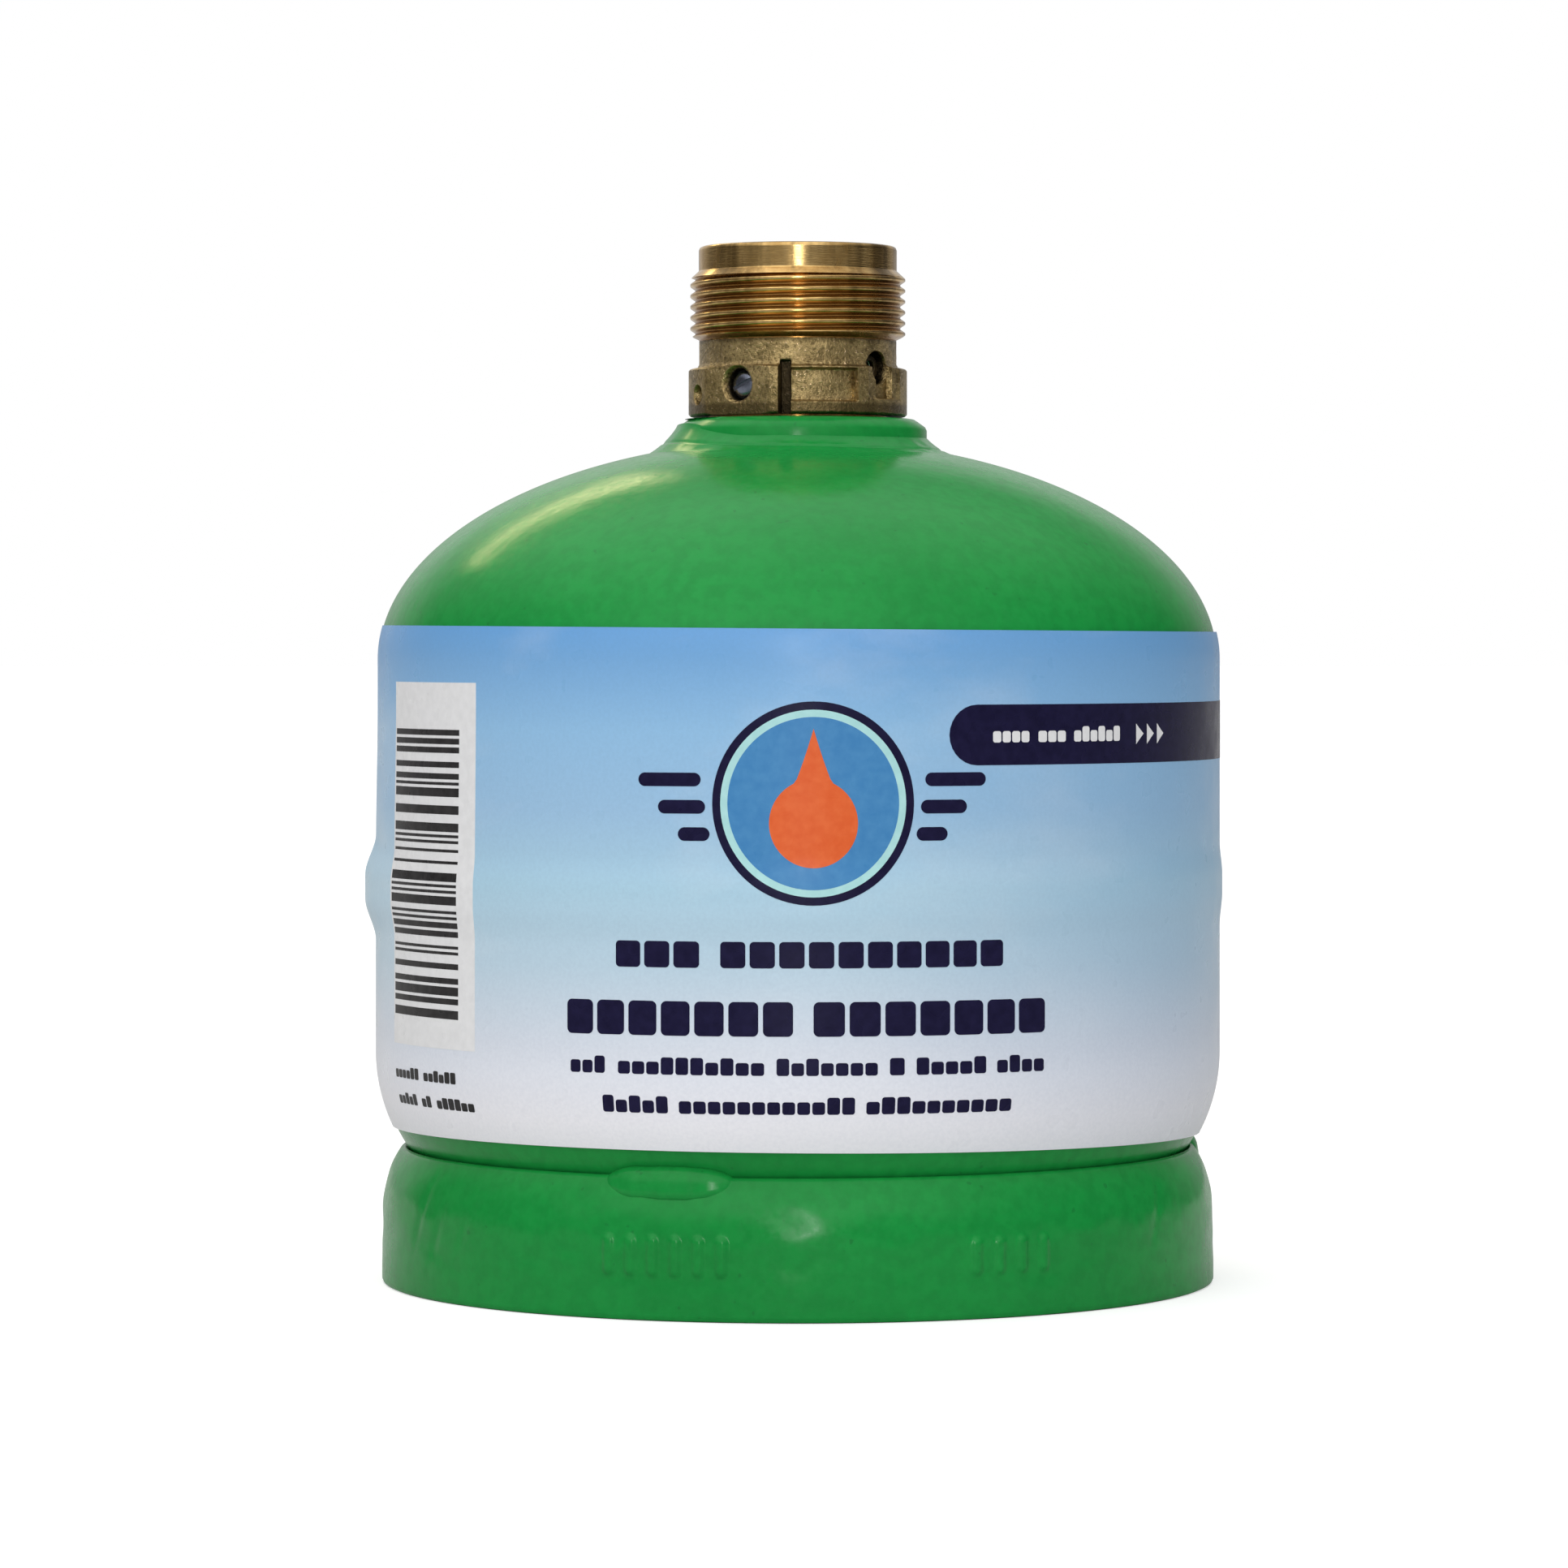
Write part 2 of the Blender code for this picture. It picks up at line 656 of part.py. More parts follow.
def relief_cutters(frame):
    """The relief valve's inlet and bore, the slot below its mouth and the pocket round it."""
    floor = RELIEF_SLOT_FLOOR - RELIEF_HEIGHT
    half = 0.5 * RELIEF_POCKET_WIDTH
    top = RELIEF_POCKET_TOP - RELIEF_HEIGHT
    pocket = block("relief_pocket", (-half, floor, RELIEF_POCKET_DISTANCE), (half, top, CUT_OUTSIDE))
    slot_half = RELIEF_BORE_RADIUS
    slot = block("relief_slot", (-slot_half, floor, RELIEF_SLOT_DISTANCE), (slot_half, 0.0, CUT_OUTSIDE))
    bore = drill("relief_bore", RELIEF_BORE_RADIUS, RELIEF_SEAT, CUT_OUTSIDE)
    inlet = drill("relief_inlet", RELIEF_INLET_RADIUS, MAIN_BORE_RADIUS - 0.5, RELIEF_SEAT + 0.2)
    hang(frame, pocket, slot, bore, inlet)
    return pocket, slot, bore, inlet


def side_cutters():
    """The forged recess and groove at the front, and the flat and recess opposite them."""
    groove = sector("front_groove", GROOVE_RADIUS, GROOVE_AZIMUTHS, RECESS_BOTTOM, GROOVE_TOP)
    recess = sector("front_recess", RECESS_RADIUS, RECESS_AZIMUTHS, RECESS_BOTTOM, RECESS_TOP)
    rear = tuple(angle + 180.0 for angle in RECESS_AZIMUTHS)
    rear_recess = sector("rear_recess", RECESS_RADIUS, rear, RECESS_BOTTOM, RECESS_TOP)
    half = 0.5 * FLAT_WIDTH
    low = (-half, -CUT_OUTSIDE, SKIRT_BOTTOM - 1.0)
    high = (half, -FLAT_DISTANCE, NECK_BOTTOM)
    rear_flat = block("rear_flat", low, high)
    rear_flat.rotation_euler = (0.0, 0.0, math.radians(BLEED_AZIMUTH + 180.0))
    return groove, recess, rear_recess, rear_flat


def valve_body(bleed_frame, relief_frame):
    obj = turned("valve_body", valve_outline(), VALVE_STEPS, MACHINED_BRASS)
    cut(obj, *side_cutters())
    cut(obj, *bleed_cutters(bleed_frame))
    cut(obj, *relief_cutters(relief_frame))


def throat_gasket():
    outline = [
        (GASKET_RADIUS, GASKET_TOP),
        (GASKET_RADIUS, GASKET_BOTTOM),
        (GASKET_HOLE_RADIUS, GASKET_BOTTOM),
        (GASKET_HOLE_RADIUS, GASKET_TOP),
    ]
    turned("throat_gasket", outline, SMALL_STEPS, BLACK_RUBBER)


# --- check valve ------------------------------------------------------------------------------


def check_poppet():
    outline = [
        (0.0, STEM_TOP),
        (STEM_RADIUS - EDGE_BREAK, STEM_TOP),
        (STEM_RADIUS, STEM_TOP - EDGE_BREAK),
        (STEM_RADIUS, POPPET_TOP),
        (POPPET_RADIUS, POPPET_TOP),
        (POPPET_RADIUS, POPPET_BOTTOM + EDGE_BREAK),
        (POPPET_RADIUS - EDGE_BREAK, POPPET_BOTTOM),
        (GUIDE_RADIUS, POPPET_BOTTOM),
        (GUIDE_RADIUS, GUIDE_BOTTOM + EDGE_BREAK),
        (GUIDE_RADIUS - EDGE_BREAK, GUIDE_BOTTOM),
        (0.0, GUIDE_BOTTOM),
    ]
    turned("check_poppet", outline, SMALL_STEPS, MACHINED_BRASS, ring=False)


def poppet_seal():
    outline = [
        (SEAL_RADIUS, SEAL_TOP),
        (SEAL_RADIUS, SEAL_BOTTOM),
        (SEAL_HOLE_RADIUS, SEAL_BOTTOM),
        (SEAL_HOLE_RADIUS, SEAL_TOP),
    ]
    turned("poppet_seal", outline, SMALL_STEPS, BLACK_RUBBER)


def check_spring():
    ends = (CAGE_TOP + 0.1, POPPET_BOTTOM - 0.1)
    coil("check_spring", CHECK_SPRING_RADIUS, CHECK_SPRING_WIRE, ends, CHECK_SPRING_TURNS)


def spring_cage():
    outline = [
        (CAGE_RADIUS, CAGE_TOP),
        (CAGE_RADIUS, CAGE_BOTTOM),
        (CAGE_HOLE_RADIUS, CAGE_BOTTOM),
        (CAGE_HOLE_RADIUS, CAGE_TOP),
    ]
    obj = turned("spring_cage", outline, SMALL_STEPS, MACHINED_BRASS)
    for number in range(CAGE_PORTS):
        port = drill(f"cage_port_{number + 1}", CAGE_PORT_RADIUS, CAGE_BOTTOM - 1.0, CAGE_TOP + 1.0)
        port.location = outward(45.0 + 360.0 * number / CAGE_PORTS) * CAGE_PORT_DISTANCE * MM
        cut(obj, port)


# --- bleed screw and relief valve -------------------------------------------------------------


def bleed_screw(frame):
    outline = [
        (0.0, BLEED_FACE),
        (BLEED_HEAD_RADIUS - 0.2, BLEED_FACE),
        (BLEED_HEAD_RADIUS, BLEED_FACE - 0.2),
        (BLEED_HEAD_RADIUS, BLEED_HEAD_BACK),
        (BLEED_SHANK_RADIUS, BLEED_HEAD_BACK),
        (BLEED_SHANK_RADIUS, BLEED_CONE_BACK),
        (BLEED_TIP_RADIUS, BLEED_TIP),
        (0.0, BLEED_TIP),
    ]
    obj = turned("bleed_screw", outline, SMALL_STEPS, PLATED_STEEL, ring=False)
    half = 0.5 * BLEED_SLOT_WIDTH
    floor = BLEED_FACE - BLEED_SLOT_DEPTH
    reach = BLEED_HEAD_RADIUS + 1.0
    slot = block("screw_slot", (-reach, -half, floor), (reach, half, BLEED_FACE + 1.0))
    hang(frame, obj, slot)
    cut(obj, slot)


def bleed_o_ring(frame):
    section = arc((O_RING_RADIUS, O_RING_PLACE), O_RING_SECTION_RADIUS, 90.0, -270.0, 8)[:-1]
    hang(frame, turned("bleed_o_ring", section, SMALL_STEPS, BLACK_RUBBER))


def dip_tube():
    outline = [
        (TUBE_RADIUS, TUBE_TOP),
        (TUBE_RADIUS, TUBE_BOTTOM),
        (TUBE_BORE_RADIUS, TUBE_BOTTOM),
        (TUBE_BORE_RADIUS, TUBE_TOP),
    ]
    obj = turned("dip_tube", outline, DRILL_STEPS, MACHINED_BRASS)
    obj.location = outward(BLEED_AZIMUTH) * PASSAGE_DISTANCE * MM


def relief_seal(frame):
    back, front = RELIEF_SEAL_PLACE
    outline = [(0.0, front), (RELIEF_SEAL_RADIUS, front), (RELIEF_SEAL_RADIUS, back), (0.0, back)]
    hang(frame, turned("relief_seal", outline, DRILL_STEPS, BLACK_RUBBER, ring=False))


def relief_poppet(frame):
    back, front = RELIEF_HEAD_PLACE
    outline = [
        (0.0, RELIEF_STEM_END),
        (RELIEF_STEM_RADIUS, RELIEF_STEM_END),
        (RELIEF_STEM_RADIUS, front),
        (RELIEF_HEAD_RADIUS, front),
        (RELIEF_HEAD_RADIUS, back),
        (0.0, back),
    ]
    hang(frame, turned("relief_poppet", outline, DRILL_STEPS, MACHINED_BRASS, ring=False))


def relief_spring(frame):
    ends = (RELIEF_HEAD_PLACE[1] + 0.08, RELIEF_PLUG_PLACE[0] - 0.08)
    spring = coil("relief_spring", RELIEF_SPRING_RADIUS, RELIEF_SPRING_WIRE, ends, RELIEF_SPRING_TURNS)
    hang(frame, spring)


def relief_plug(frame):
    back, front = RELIEF_PLUG_PLACE
    outline = [
        (RELIEF_PLUG_RADIUS, front),
        (RELIEF_PLUG_RADIUS, back),
        (RELIEF_PLUG_VENT_RADIUS, back),
        (RELIEF_PLUG_VENT_RADIUS, front),
    ]
    hang(frame, turned("relief_plug", outline, DRILL_STEPS, MACHINED_BRASS))


# --- assembly ---------------------------------------------------------------------------------


def build():
    upper_shell()
    lower_shell()
    girth_weld()
    label_wrap()
    valve_boss()
    boss_weld()
    foot_ring()
    for number, azimuth in enumerate(FOOT_WELD_AZIMUTHS, start=1):
        foot_weld(number, azimuth)

    bleed_frame = radial_frame("bleed_axis", BLEED_AZIMUTH, BLEED_HEIGHT)
    relief_frame = radial_frame("relief_axis", RELIEF_AZIMUTH, RELIEF_HEIGHT)
    valve_body(bleed_frame, relief_frame)
    throat_gasket()

    check_poppet()
    poppet_seal()
    check_spring()
    spring_cage()

    bleed_screw(bleed_frame)
    bleed_o_ring(bleed_frame)
    dip_tube()

    relief_seal(relief_frame)
    relief_poppet(relief_frame)
    relief_spring(relief_frame)
    relief_plug(relief_frame)


build()
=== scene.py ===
"""The looks of a small refillable propane cylinder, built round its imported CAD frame.

Lengths in this script are millimetres, and MM turns them into the frame's metres. Azimuths are
degrees: 0 is the front (-Y), and they grow towards +X.
"""

import functools
import math
import random

import bpy
import numpy as np
from mathutils import Matrix, Vector


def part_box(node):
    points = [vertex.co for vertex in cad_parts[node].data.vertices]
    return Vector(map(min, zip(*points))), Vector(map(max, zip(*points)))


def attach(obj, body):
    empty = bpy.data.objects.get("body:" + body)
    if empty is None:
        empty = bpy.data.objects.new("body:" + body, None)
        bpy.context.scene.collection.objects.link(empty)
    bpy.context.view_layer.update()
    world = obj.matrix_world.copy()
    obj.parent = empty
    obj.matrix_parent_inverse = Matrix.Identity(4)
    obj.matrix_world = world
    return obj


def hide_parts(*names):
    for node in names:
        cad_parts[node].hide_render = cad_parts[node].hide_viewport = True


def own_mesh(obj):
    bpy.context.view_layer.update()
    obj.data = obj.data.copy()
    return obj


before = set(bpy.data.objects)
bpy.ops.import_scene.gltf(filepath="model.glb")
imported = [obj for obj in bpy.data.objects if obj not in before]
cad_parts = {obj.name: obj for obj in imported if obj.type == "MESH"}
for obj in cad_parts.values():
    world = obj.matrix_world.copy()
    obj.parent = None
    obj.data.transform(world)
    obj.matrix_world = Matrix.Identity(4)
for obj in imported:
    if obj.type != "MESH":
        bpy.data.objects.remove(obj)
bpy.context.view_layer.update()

MM = 0.001


def millimetres(node):
    """The lowest and highest corner of a CAD node's box, in millimetres."""
    low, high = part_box(node)
    return Vector(low) / MM, Vector(high) / MM


def reach(node):
    """How far a CAD node reaches from the axis, towards +X."""
    return millimetres(node)[1].x


def top(node):
    return millimetres(node)[1].z


def bottom(node):
    return millimetres(node)[0].z


# --- sizes: taken from the frame where it has them --------------------------------------------

BODY_RADIUS = reach("upper_shell")
DOME_BASE = 72.85
DOME_RISE = 25.8
KNUCKLE_RADIUS = 20.0
KNUCKLE_START = 27.0
KNUCKLE_ANGLE = 72.0
CROWN_RADIUS = 114.5
WALL = 2.0
DOME_HOLE = 13.3
UPPER_EDGE = 47.6
JOGGLE_RADIUS = 46.9
JOGGLE_TOP = 54.0
JOGGLE_BOTTOM = 45.8

LABEL_TOP = top("label_wrap")
LABEL_RADIUS = BODY_RADIUS + 0.4
LABEL_REACH = reach("label_wrap")
LABEL_FRONT_BOTTOM = 18.67
LABEL_SIDE_BOTTOM = 16.95
LABEL_TILT = 0.38
LABEL_THICKNESS = 0.18
WELD_MIDDLE = 46.4
WELD_HALF = 3.9
LUMP_AZIMUTH = -92.0

BOSS_TOP = top("valve_boss")
BOSS_RADIUS = reach("valve_boss")
BOSS_BOTTOM = bottom("valve_boss")
BOSS_BORE = 10.9
BOSS_SPIGOT = 13.0
MELTED_AZIMUTH = -100.0

FOOT_RADIUS = reach("foot_ring")
FOOT_STRAIGHT = 7.4
FOOT_LIP = 15.6
FOOT_TUCK = 2.2
FOOT_WALL = 1.5
FOOT_PROUD = 0.30
FOOT_ROWS = 60
TACK_AZIMUTHS = (-18.0, 102.0, 222.0)

VALVE_TOP = top("valve_body")
VALVE_BOTTOM = bottom("valve_body")
COLLAR_RADIUS = 11.65
COLLAR_BOTTOM = 118.4
RAMP_BOTTOM = 117.55
THREAD_RADIUS = 12.65
THREAD_ROOT = 12.06
THREAD_PITCH = 1.27
THREAD_BOTTOM = 110.7
NECK_RADIUS = 11.6
NECK_TOP = 110.3
NECK_BOTTOM = 107.25
SKIRT_RADIUS = reach("valve_body")
SKIRT_TOP = 106.65
SKIRT_BOTTOM = 101.3
GROOVE_RADIUS = 11.1
# forged brass nearer the axis than this is coloured darker: painted shade in the deep cuts
DEEP_CUT_SHADE_RADIUS = 11.2
RECESS_BOTTOM = 102.8
RECESS_RADIUS = 11.9
BLEED_AZIMUTH = -36.0
BLEED_HEIGHT = 104.8
RELIEF_AZIMUTH = 50.0
RELIEF_HEIGHT = 106.8
VENT_AZIMUTH = -66.0
VENT_HEIGHT = 103.7
CHECK_SPRING_ENDS = (95.1, 103.9)
RELIEF_SPRING_ENDS = (8.78, 10.82)



# --- shader nodes -----------------------------------------------------------------------------


class Nodes:
    """Short calls that add shader nodes to one tree."""

    def __init__(self, tree):
        self.tree = tree

    def connect(self, value, socket):
        if isinstance(value, bpy.types.NodeSocket):
            self.tree.links.new(value, socket)
        else:
            socket.default_value = value

    def add(self, kind, inputs=None, **settings):
        """Adds a node. An input that is given a socket is linked, and any other is set."""
        made = self.tree.nodes.new(kind)
        for key, value in settings.items():
            setattr(made, key, value)
        for key, value in (inputs or {}).items():
            self.connect(value, made.inputs[key])
        return made

    def spread(self, value, low, high, out_low, out_high):
        """Maps a value from one range to another, clamped."""
        ranges = {"From Min": low, "From Max": high, "To Min": out_low, "To Max": out_high}
        return self.add("ShaderNodeMapRange", {"Value": value, **ranges}).outputs["Result"]

    def product(self, first, second):
        return self.add("ShaderNodeMath", {0: first, 1: second}, operation="MULTIPLY").outputs["Value"]

    def blend(self, factor, first, second):
        """Mixes two colours. Each is a socket or an (r, g, b)."""
        made = self.add("ShaderNodeMix", data_type="RGBA")
        self.connect(factor, made.inputs[0])
        for socket, colour in ((made.inputs[6], first), (made.inputs[7], second)):
            self.connect(colour if isinstance(colour, bpy.types.NodeSocket) else (*colour, 1.0), socket)
        return made.outputs[2]

    def ramp(self, value, stops):
        """Runs through the colours of some (place, colour) stops as the value goes from 0 to 1."""
        made = self.add("ShaderNodeValToRGB", {"Fac": value})
        elements = made.color_ramp.elements
        for place, colour in stops[1:-1]:
            elements.new(place).color = (*colour, 1.0)
        for element, (place, colour) in ((elements[0], stops[0]), (elements[-1], stops[-1])):
            element.position = place
            element.color = (*colour, 1.0)
        return made.outputs["Color"]


class Finish(Nodes):
    """A new material, and short calls for the patterns that it is made of."""

    def __init__(self, name):
        self.material = bpy.data.materials.new(name)
        self.material.use_nodes = True
        super().__init__(self.material.node_tree)

    @functools.cached_property
    def coords(self):
        return self.add("ShaderNodeTexCoord").outputs["Object"]

    def position(self):
        """The distance from the upright axis, and the height, in metres."""
        across = (1.0, 1.0, 0.0)
        flat = self.add("ShaderNodeVectorMath", {0: self.coords, 1: across}, operation="MULTIPLY")
        distance = self.add("ShaderNodeVectorMath", {0: flat.outputs["Vector"]}, operation="LENGTH")
        height = self.add("ShaderNodeSeparateXYZ", {"Vector": self.coords}).outputs["Z"]
        return distance.outputs["Value"], height

    def noise(self, scale, detail=2.0, roughness=0.5, stretch=None):
        """A cloudy pattern. Where stretch is under 1, it is drawn out along that axis."""
        coords = self.coords
        if stretch is not None:
            coords = self.add("ShaderNodeMapping", {"Vector": coords, "Scale": stretch}).outputs["Vector"]
        inputs = {"Vector": coords, "Scale": scale, "Detail": detail, "Roughness": roughness}
        return self.add("ShaderNodeTexNoise", inputs).outputs["Fac"]

    def layers(self, colour, *layers):
        """Tints a colour, layer by layer.

        A layer has a value, its range, the tint's share at either end of the range, and the tint.
        """
        for value, low, high, least, most, tint in layers:
            colour = self.blend(self.spread(value, low, high, least, most), colour, tint)
        return colour

    def bump(self, height, distance, normal=None):
        inputs = {"Height": height, "Distance": distance}
        if normal is not None:
            inputs["Normal"] = normal
        return self.add("ShaderNodeBump", inputs).outputs["Normal"]

    def done(self, inputs):
        """Gives the shader its inputs, and returns the material."""
        shader = self.tree.nodes["Principled BSDF"]
        for name, value in inputs.items():
            self.connect(value, shader.inputs[name])
        return self.material


# --- camera, floor and light ------------------------------------------------------------------

CAMERA_DISTANCE = 0.730
CAMERA_HEIGHT = 0.07635
CAMERA_LENS = 142.4
FRAME_SIDE = 1932
AXIS_RIGHT_OF_CENTRE = 17
HORIZON_ABOVE_CENTRE = 191
FLOOR_DROP = -0.00002
FLOOR_GLOW = 0.55
FLOOR_COLOUR = (0.62, 0.62, 0.62, 1.0)
WHITE = (1.0, 1.0, 1.0, 1.0)
LIGHTS_AIM = (0.0, 0.0, 0.08)

# the room's brightness at heights that run from 0 at the horizon to 1 overhead
FRONT_WALL = ((0.0, 0.12), (0.22, 0.22), (0.5, 1.6), (0.8, 1.9), (1.0, 1.7))
SIDE_WALLS = ((0.0, 0.06), (0.30, 0.10), (0.6, 0.50), (1.0, 1.7))
BACK_WALL = ((0.0, 0.40), (0.30, 0.80), (0.44, 0.66), (0.58, 0.24), (0.78, 0.35), (1.0, 1.7))
LEFT_STRENGTH = 1.3775
RIGHT_STRENGTH = 0.551


def put(name, data):
    """Puts a new object in the scene."""
    obj = bpy.data.objects.new(name, data)
    bpy.context.scene.collection.objects.link(obj)
    return obj


def make_camera():
    data = bpy.data.cameras.new("camera")
    data.lens = CAMERA_LENS
    data.sensor_width = 36.0
    data.shift_x = -AXIS_RIGHT_OF_CENTRE / FRAME_SIDE
    data.shift_y = -HORIZON_ABOVE_CENTRE / FRAME_SIDE
    data.clip_start = 0.01
    data.clip_end = 50.0
    camera = put("camera", data)
    camera.location = (0.0, -CAMERA_DISTANCE, CAMERA_HEIGHT)
    camera.rotation_euler = (math.radians(90.0), 0.0, 0.0)
    bpy.context.scene.camera = camera


def softbox(name, place, size, power, colour):
    data = bpy.data.lights.new(name, "AREA")
    data.shape = "RECTANGLE"
    data.size, data.size_y = size
    data.energy = power
    data.color = colour
    light = put(name, data)
    light.location = place
    light.rotation_euler = (Vector(LIGHTS_AIM) - Vector(place)).to_track_quat("-Z", "Y").to_euler()


def make_world():
    """A white backdrop for the eye, and a studio room for what the object reflects.

    The room is brightest high in front, dim at the sides, and pale straight behind.
    """
    world = bpy.data.worlds.new("studio")
    bpy.context.scene.world = world
    world.use_nodes = True
    room = Nodes(world.node_tree)
    room.tree.nodes.clear()
    direction = room.add("ShaderNodeTexCoord").outputs["Generated"]
    split = room.add("ShaderNodeSeparateXYZ", {"Vector": direction}).outputs
    walls = []
    for levels in (FRONT_WALL, SIDE_WALLS, BACK_WALL):
        walls.append(room.ramp(split["Z"], [(place, (level, level, level)) for place, level in levels]))
    not_front = room.spread(split["Y"], -0.80, -0.25, 0.0, 1.0)
    behind = room.spread(split["Y"], 0.55, 0.90, 0.0, 1.0)
    colour = room.blend(behind, room.blend(not_front, walls[0], walls[1]), walls[2])
    strength = room.spread(split["X"], -1.0, 1.0, LEFT_STRENGTH, RIGHT_STRENGTH)
    reflected = room.add("ShaderNodeBackground", {"Color": colour, "Strength": strength}).outputs[0]
    backdrop = room.add("ShaderNodeBackground", {"Color": WHITE}).outputs[0]
    seen = room.add("ShaderNodeLightPath").outputs["Is Camera Ray"]
    shown = room.add("ShaderNodeMixShader", {0: seen, 1: reflected, 2: backdrop}).outputs[0]
    room.add("ShaderNodeOutputWorld", {"Surface": shown})


def make_floor():
    """A pale sheet that runs on far behind the object, overexposed to white in the picture."""
    corners = [(-8.0, -4.0), (8.0, -4.0), (8.0, 12.0), (-8.0, 12.0)]
    mesh = bpy.data.meshes.new("floor")
    mesh.from_pydata([(x, y, FLOOR_DROP) for x, y in corners], [], [(0, 1, 2, 3)])
    paper = Finish("floor_paper")
    seen = paper.add("ShaderNodeLightPath").outputs["Is Camera Ray"]
    mesh.materials.append(paper.done({
        "Base Color": FLOOR_COLOUR,
        "Roughness": 0.9,
        "Specular IOR Level": 0.0,
        "Emission Color": WHITE,
        "Emission Strength": paper.spread(seen, 0.0, 1.0, 0.0, FLOOR_GLOW),
    }))
    put("floor", mesh)


def make_stage():
    bpy.context.scene.view_settings.view_transform = "Standard"
    make_world()
    make_floor()
    softbox("streak", (-0.56, 1.15, 0.92), (0.78, 0.15), 2.0, (0.95, 0.80, 0.42))
    softbox("front", (0.01, -1.30, 0.36), (0.045, 0.55), 3.2, (1.0, 1.0, 1.0))


# --- materials --------------------------------------------------------------------------------

FILM_STOPS = (
    (0.08, (0.96, 0.95, 1.0)),
    (0.22, (0.74, 0.79, 0.88)),
    (0.37, (0.55, 0.71, 0.83)),
    (0.52, (0.45, 0.68, 0.83)),
    (0.66, (0.36, 0.58, 0.81)),
    (0.81, (0.31, 0.56, 0.83)),
    (1.0, (0.155, 0.385, 0.73)),
)


def paint_material():
    """Gloss green powder coat with orange peel, slight colour drift and a few specks of dust."""
    paint = Finish("green_paint")
    drift = paint.spread(paint.noise(28.0, 3.0), 0.3, 0.7, 0.0, 1.0)
    fine = paint.noise(1500.0)
    colour = paint.layers(
        paint.blend(drift, (0.0078, 0.250, 0.042), (0.0122, 0.318, 0.057)),
        (paint.noise(620.0, 2.5), 0.38, 0.64, 0.0, 0.34, (0.0065, 0.195, 0.034)),
        (paint.noise(900.0, 1.0), 0.74, 0.80, 0.0, 0.35, (0.008, 0.10, 0.028)),
        (fine, 0.35, 0.75, 0.0, 0.08, (0.04, 0.36, 0.10)),
    )
    peel = paint.bump(paint.noise(480.0, 1.5), 0.00003)
    return paint.done({
        "Base Color": colour,
        "Roughness": paint.spread(fine, 0.3, 0.7, 0.17, 0.25),
        "Normal": paint.bump(paint.noise(95.0, 1.0), 0.00014, peel),
        "Specular IOR Level": 0.16,
    })


def film_material():
    """The label's film: a sky that fades to near white, with faint cloud and print grain."""
    film = Finish("label_film")
    split = film.add("ShaderNodeSeparateXYZ", {"Vector": film.coords}).outputs
    up = film.spread(split["Z"], LABEL_SIDE_BOTTOM * MM, LABEL_TOP * MM, 0.0, 1.0)
    cloud = film.noise(30.0, 4.0, 0.55, stretch=(1.0, 1.0, 2.2))
    colour = film.layers(
        film.ramp(up, FILM_STOPS),
        (cloud, 0.50, 0.80, 0.0, 0.30, (0.86, 0.90, 0.95)),
        (film.noise(2600.0, 1.0), 0.3, 0.7, 0.0, 0.06, (0.10, 0.16, 0.30)),
    )
    to_right = film.spread(split["X"], 0.008, 0.042, 0.0, 0.28)
    deepening = film.product(to_right, film.spread(up, 0.02, 0.35, 0.2, 1.0))
    fibres = film.bump(film.noise(420.0), 0.00002)
    ripples = film.noise(75.0, 1.0, stretch=(1.0, 1.0, 0.35))
    return film.done({
        "Base Color": film.blend(deepening, colour, (0.16, 0.38, 0.66)),
        "Roughness": film.spread(film.noise(240.0), 0.3, 0.7, 0.26, 0.36),
        "Normal": film.bump(ripples, 0.00008, fibres),
        "Specular IOR Level": 0.24,
    })


def ink_material(name, first, second):
    """Printed ink with a little mottling between two close colours."""
    ink = Finish(name)
    mottle = ink.spread(ink.noise(900.0), 0.3, 0.7, 0.0, 1.0)
    return ink.done({
        "Base Color": ink.blend(mottle, first, second),
        "Roughness": ink.spread(ink.noise(300.0), 0.3, 0.7, 0.24, 0.34),
        "Specular IOR Level": 0.12,
    })


def machined_brass():
    """Turned brass: its tool marks run round the axis and stretch the highlights upwards."""
    brass = Finish("machined_brass")
    oxide = brass.noise(300.0, 4.0, 0.62, stretch=(1.0, 1.0, 0.55))
    dulled = brass.spread(oxide, 0.36, 0.66, 0.0, 1.0)
    reflected_streaks = brass.noise(330.0, 3.0, 0.6, stretch=(1.0, 1.0, 0.07))
    colour = brass.layers(
        brass.blend(dulled, (0.70, 0.47, 0.19), (0.40, 0.24, 0.08)),
        # painted reflection: upright dark streaks in the brass's colour
        (reflected_streaks, 0.46, 0.62, 0.0, 0.75, (0.17, 0.105, 0.035)),
    )
    distance, height = brass.position()
    # painted shade: the thread's valleys are coloured a darker brown
    valley_shade = brass.spread(distance, (THREAD_ROOT + 0.05) * MM, (THREAD_RADIUS - 0.12) * MM, 0.85, 0.0)
    threaded = brass.spread(height, (RAMP_BOTTOM - 0.15) * MM, (RAMP_BOTTOM + 0.15) * MM, 1.0, 0.0)
    rings = brass.noise(9000.0, 2.0, 0.6, stretch=(0.05, 0.05, 1.0))
    tangent = brass.add("ShaderNodeTangent", direction_type="RADIAL", axis="Z")
    return brass.done({
        "Base Color": brass.blend(brass.product(valley_shade, threaded), colour, (0.27, 0.125, 0.028)),
        "Roughness": brass.spread(oxide, 0.3, 0.7, 0.17, 0.30),
        "Normal": brass.bump(rings, 0.000015),
        "Tangent": tangent.outputs[0],
        "Metallic": 1.0,
        "Anisotropic": 0.55,
        "Anisotropic Rotation": 0.25,
    })


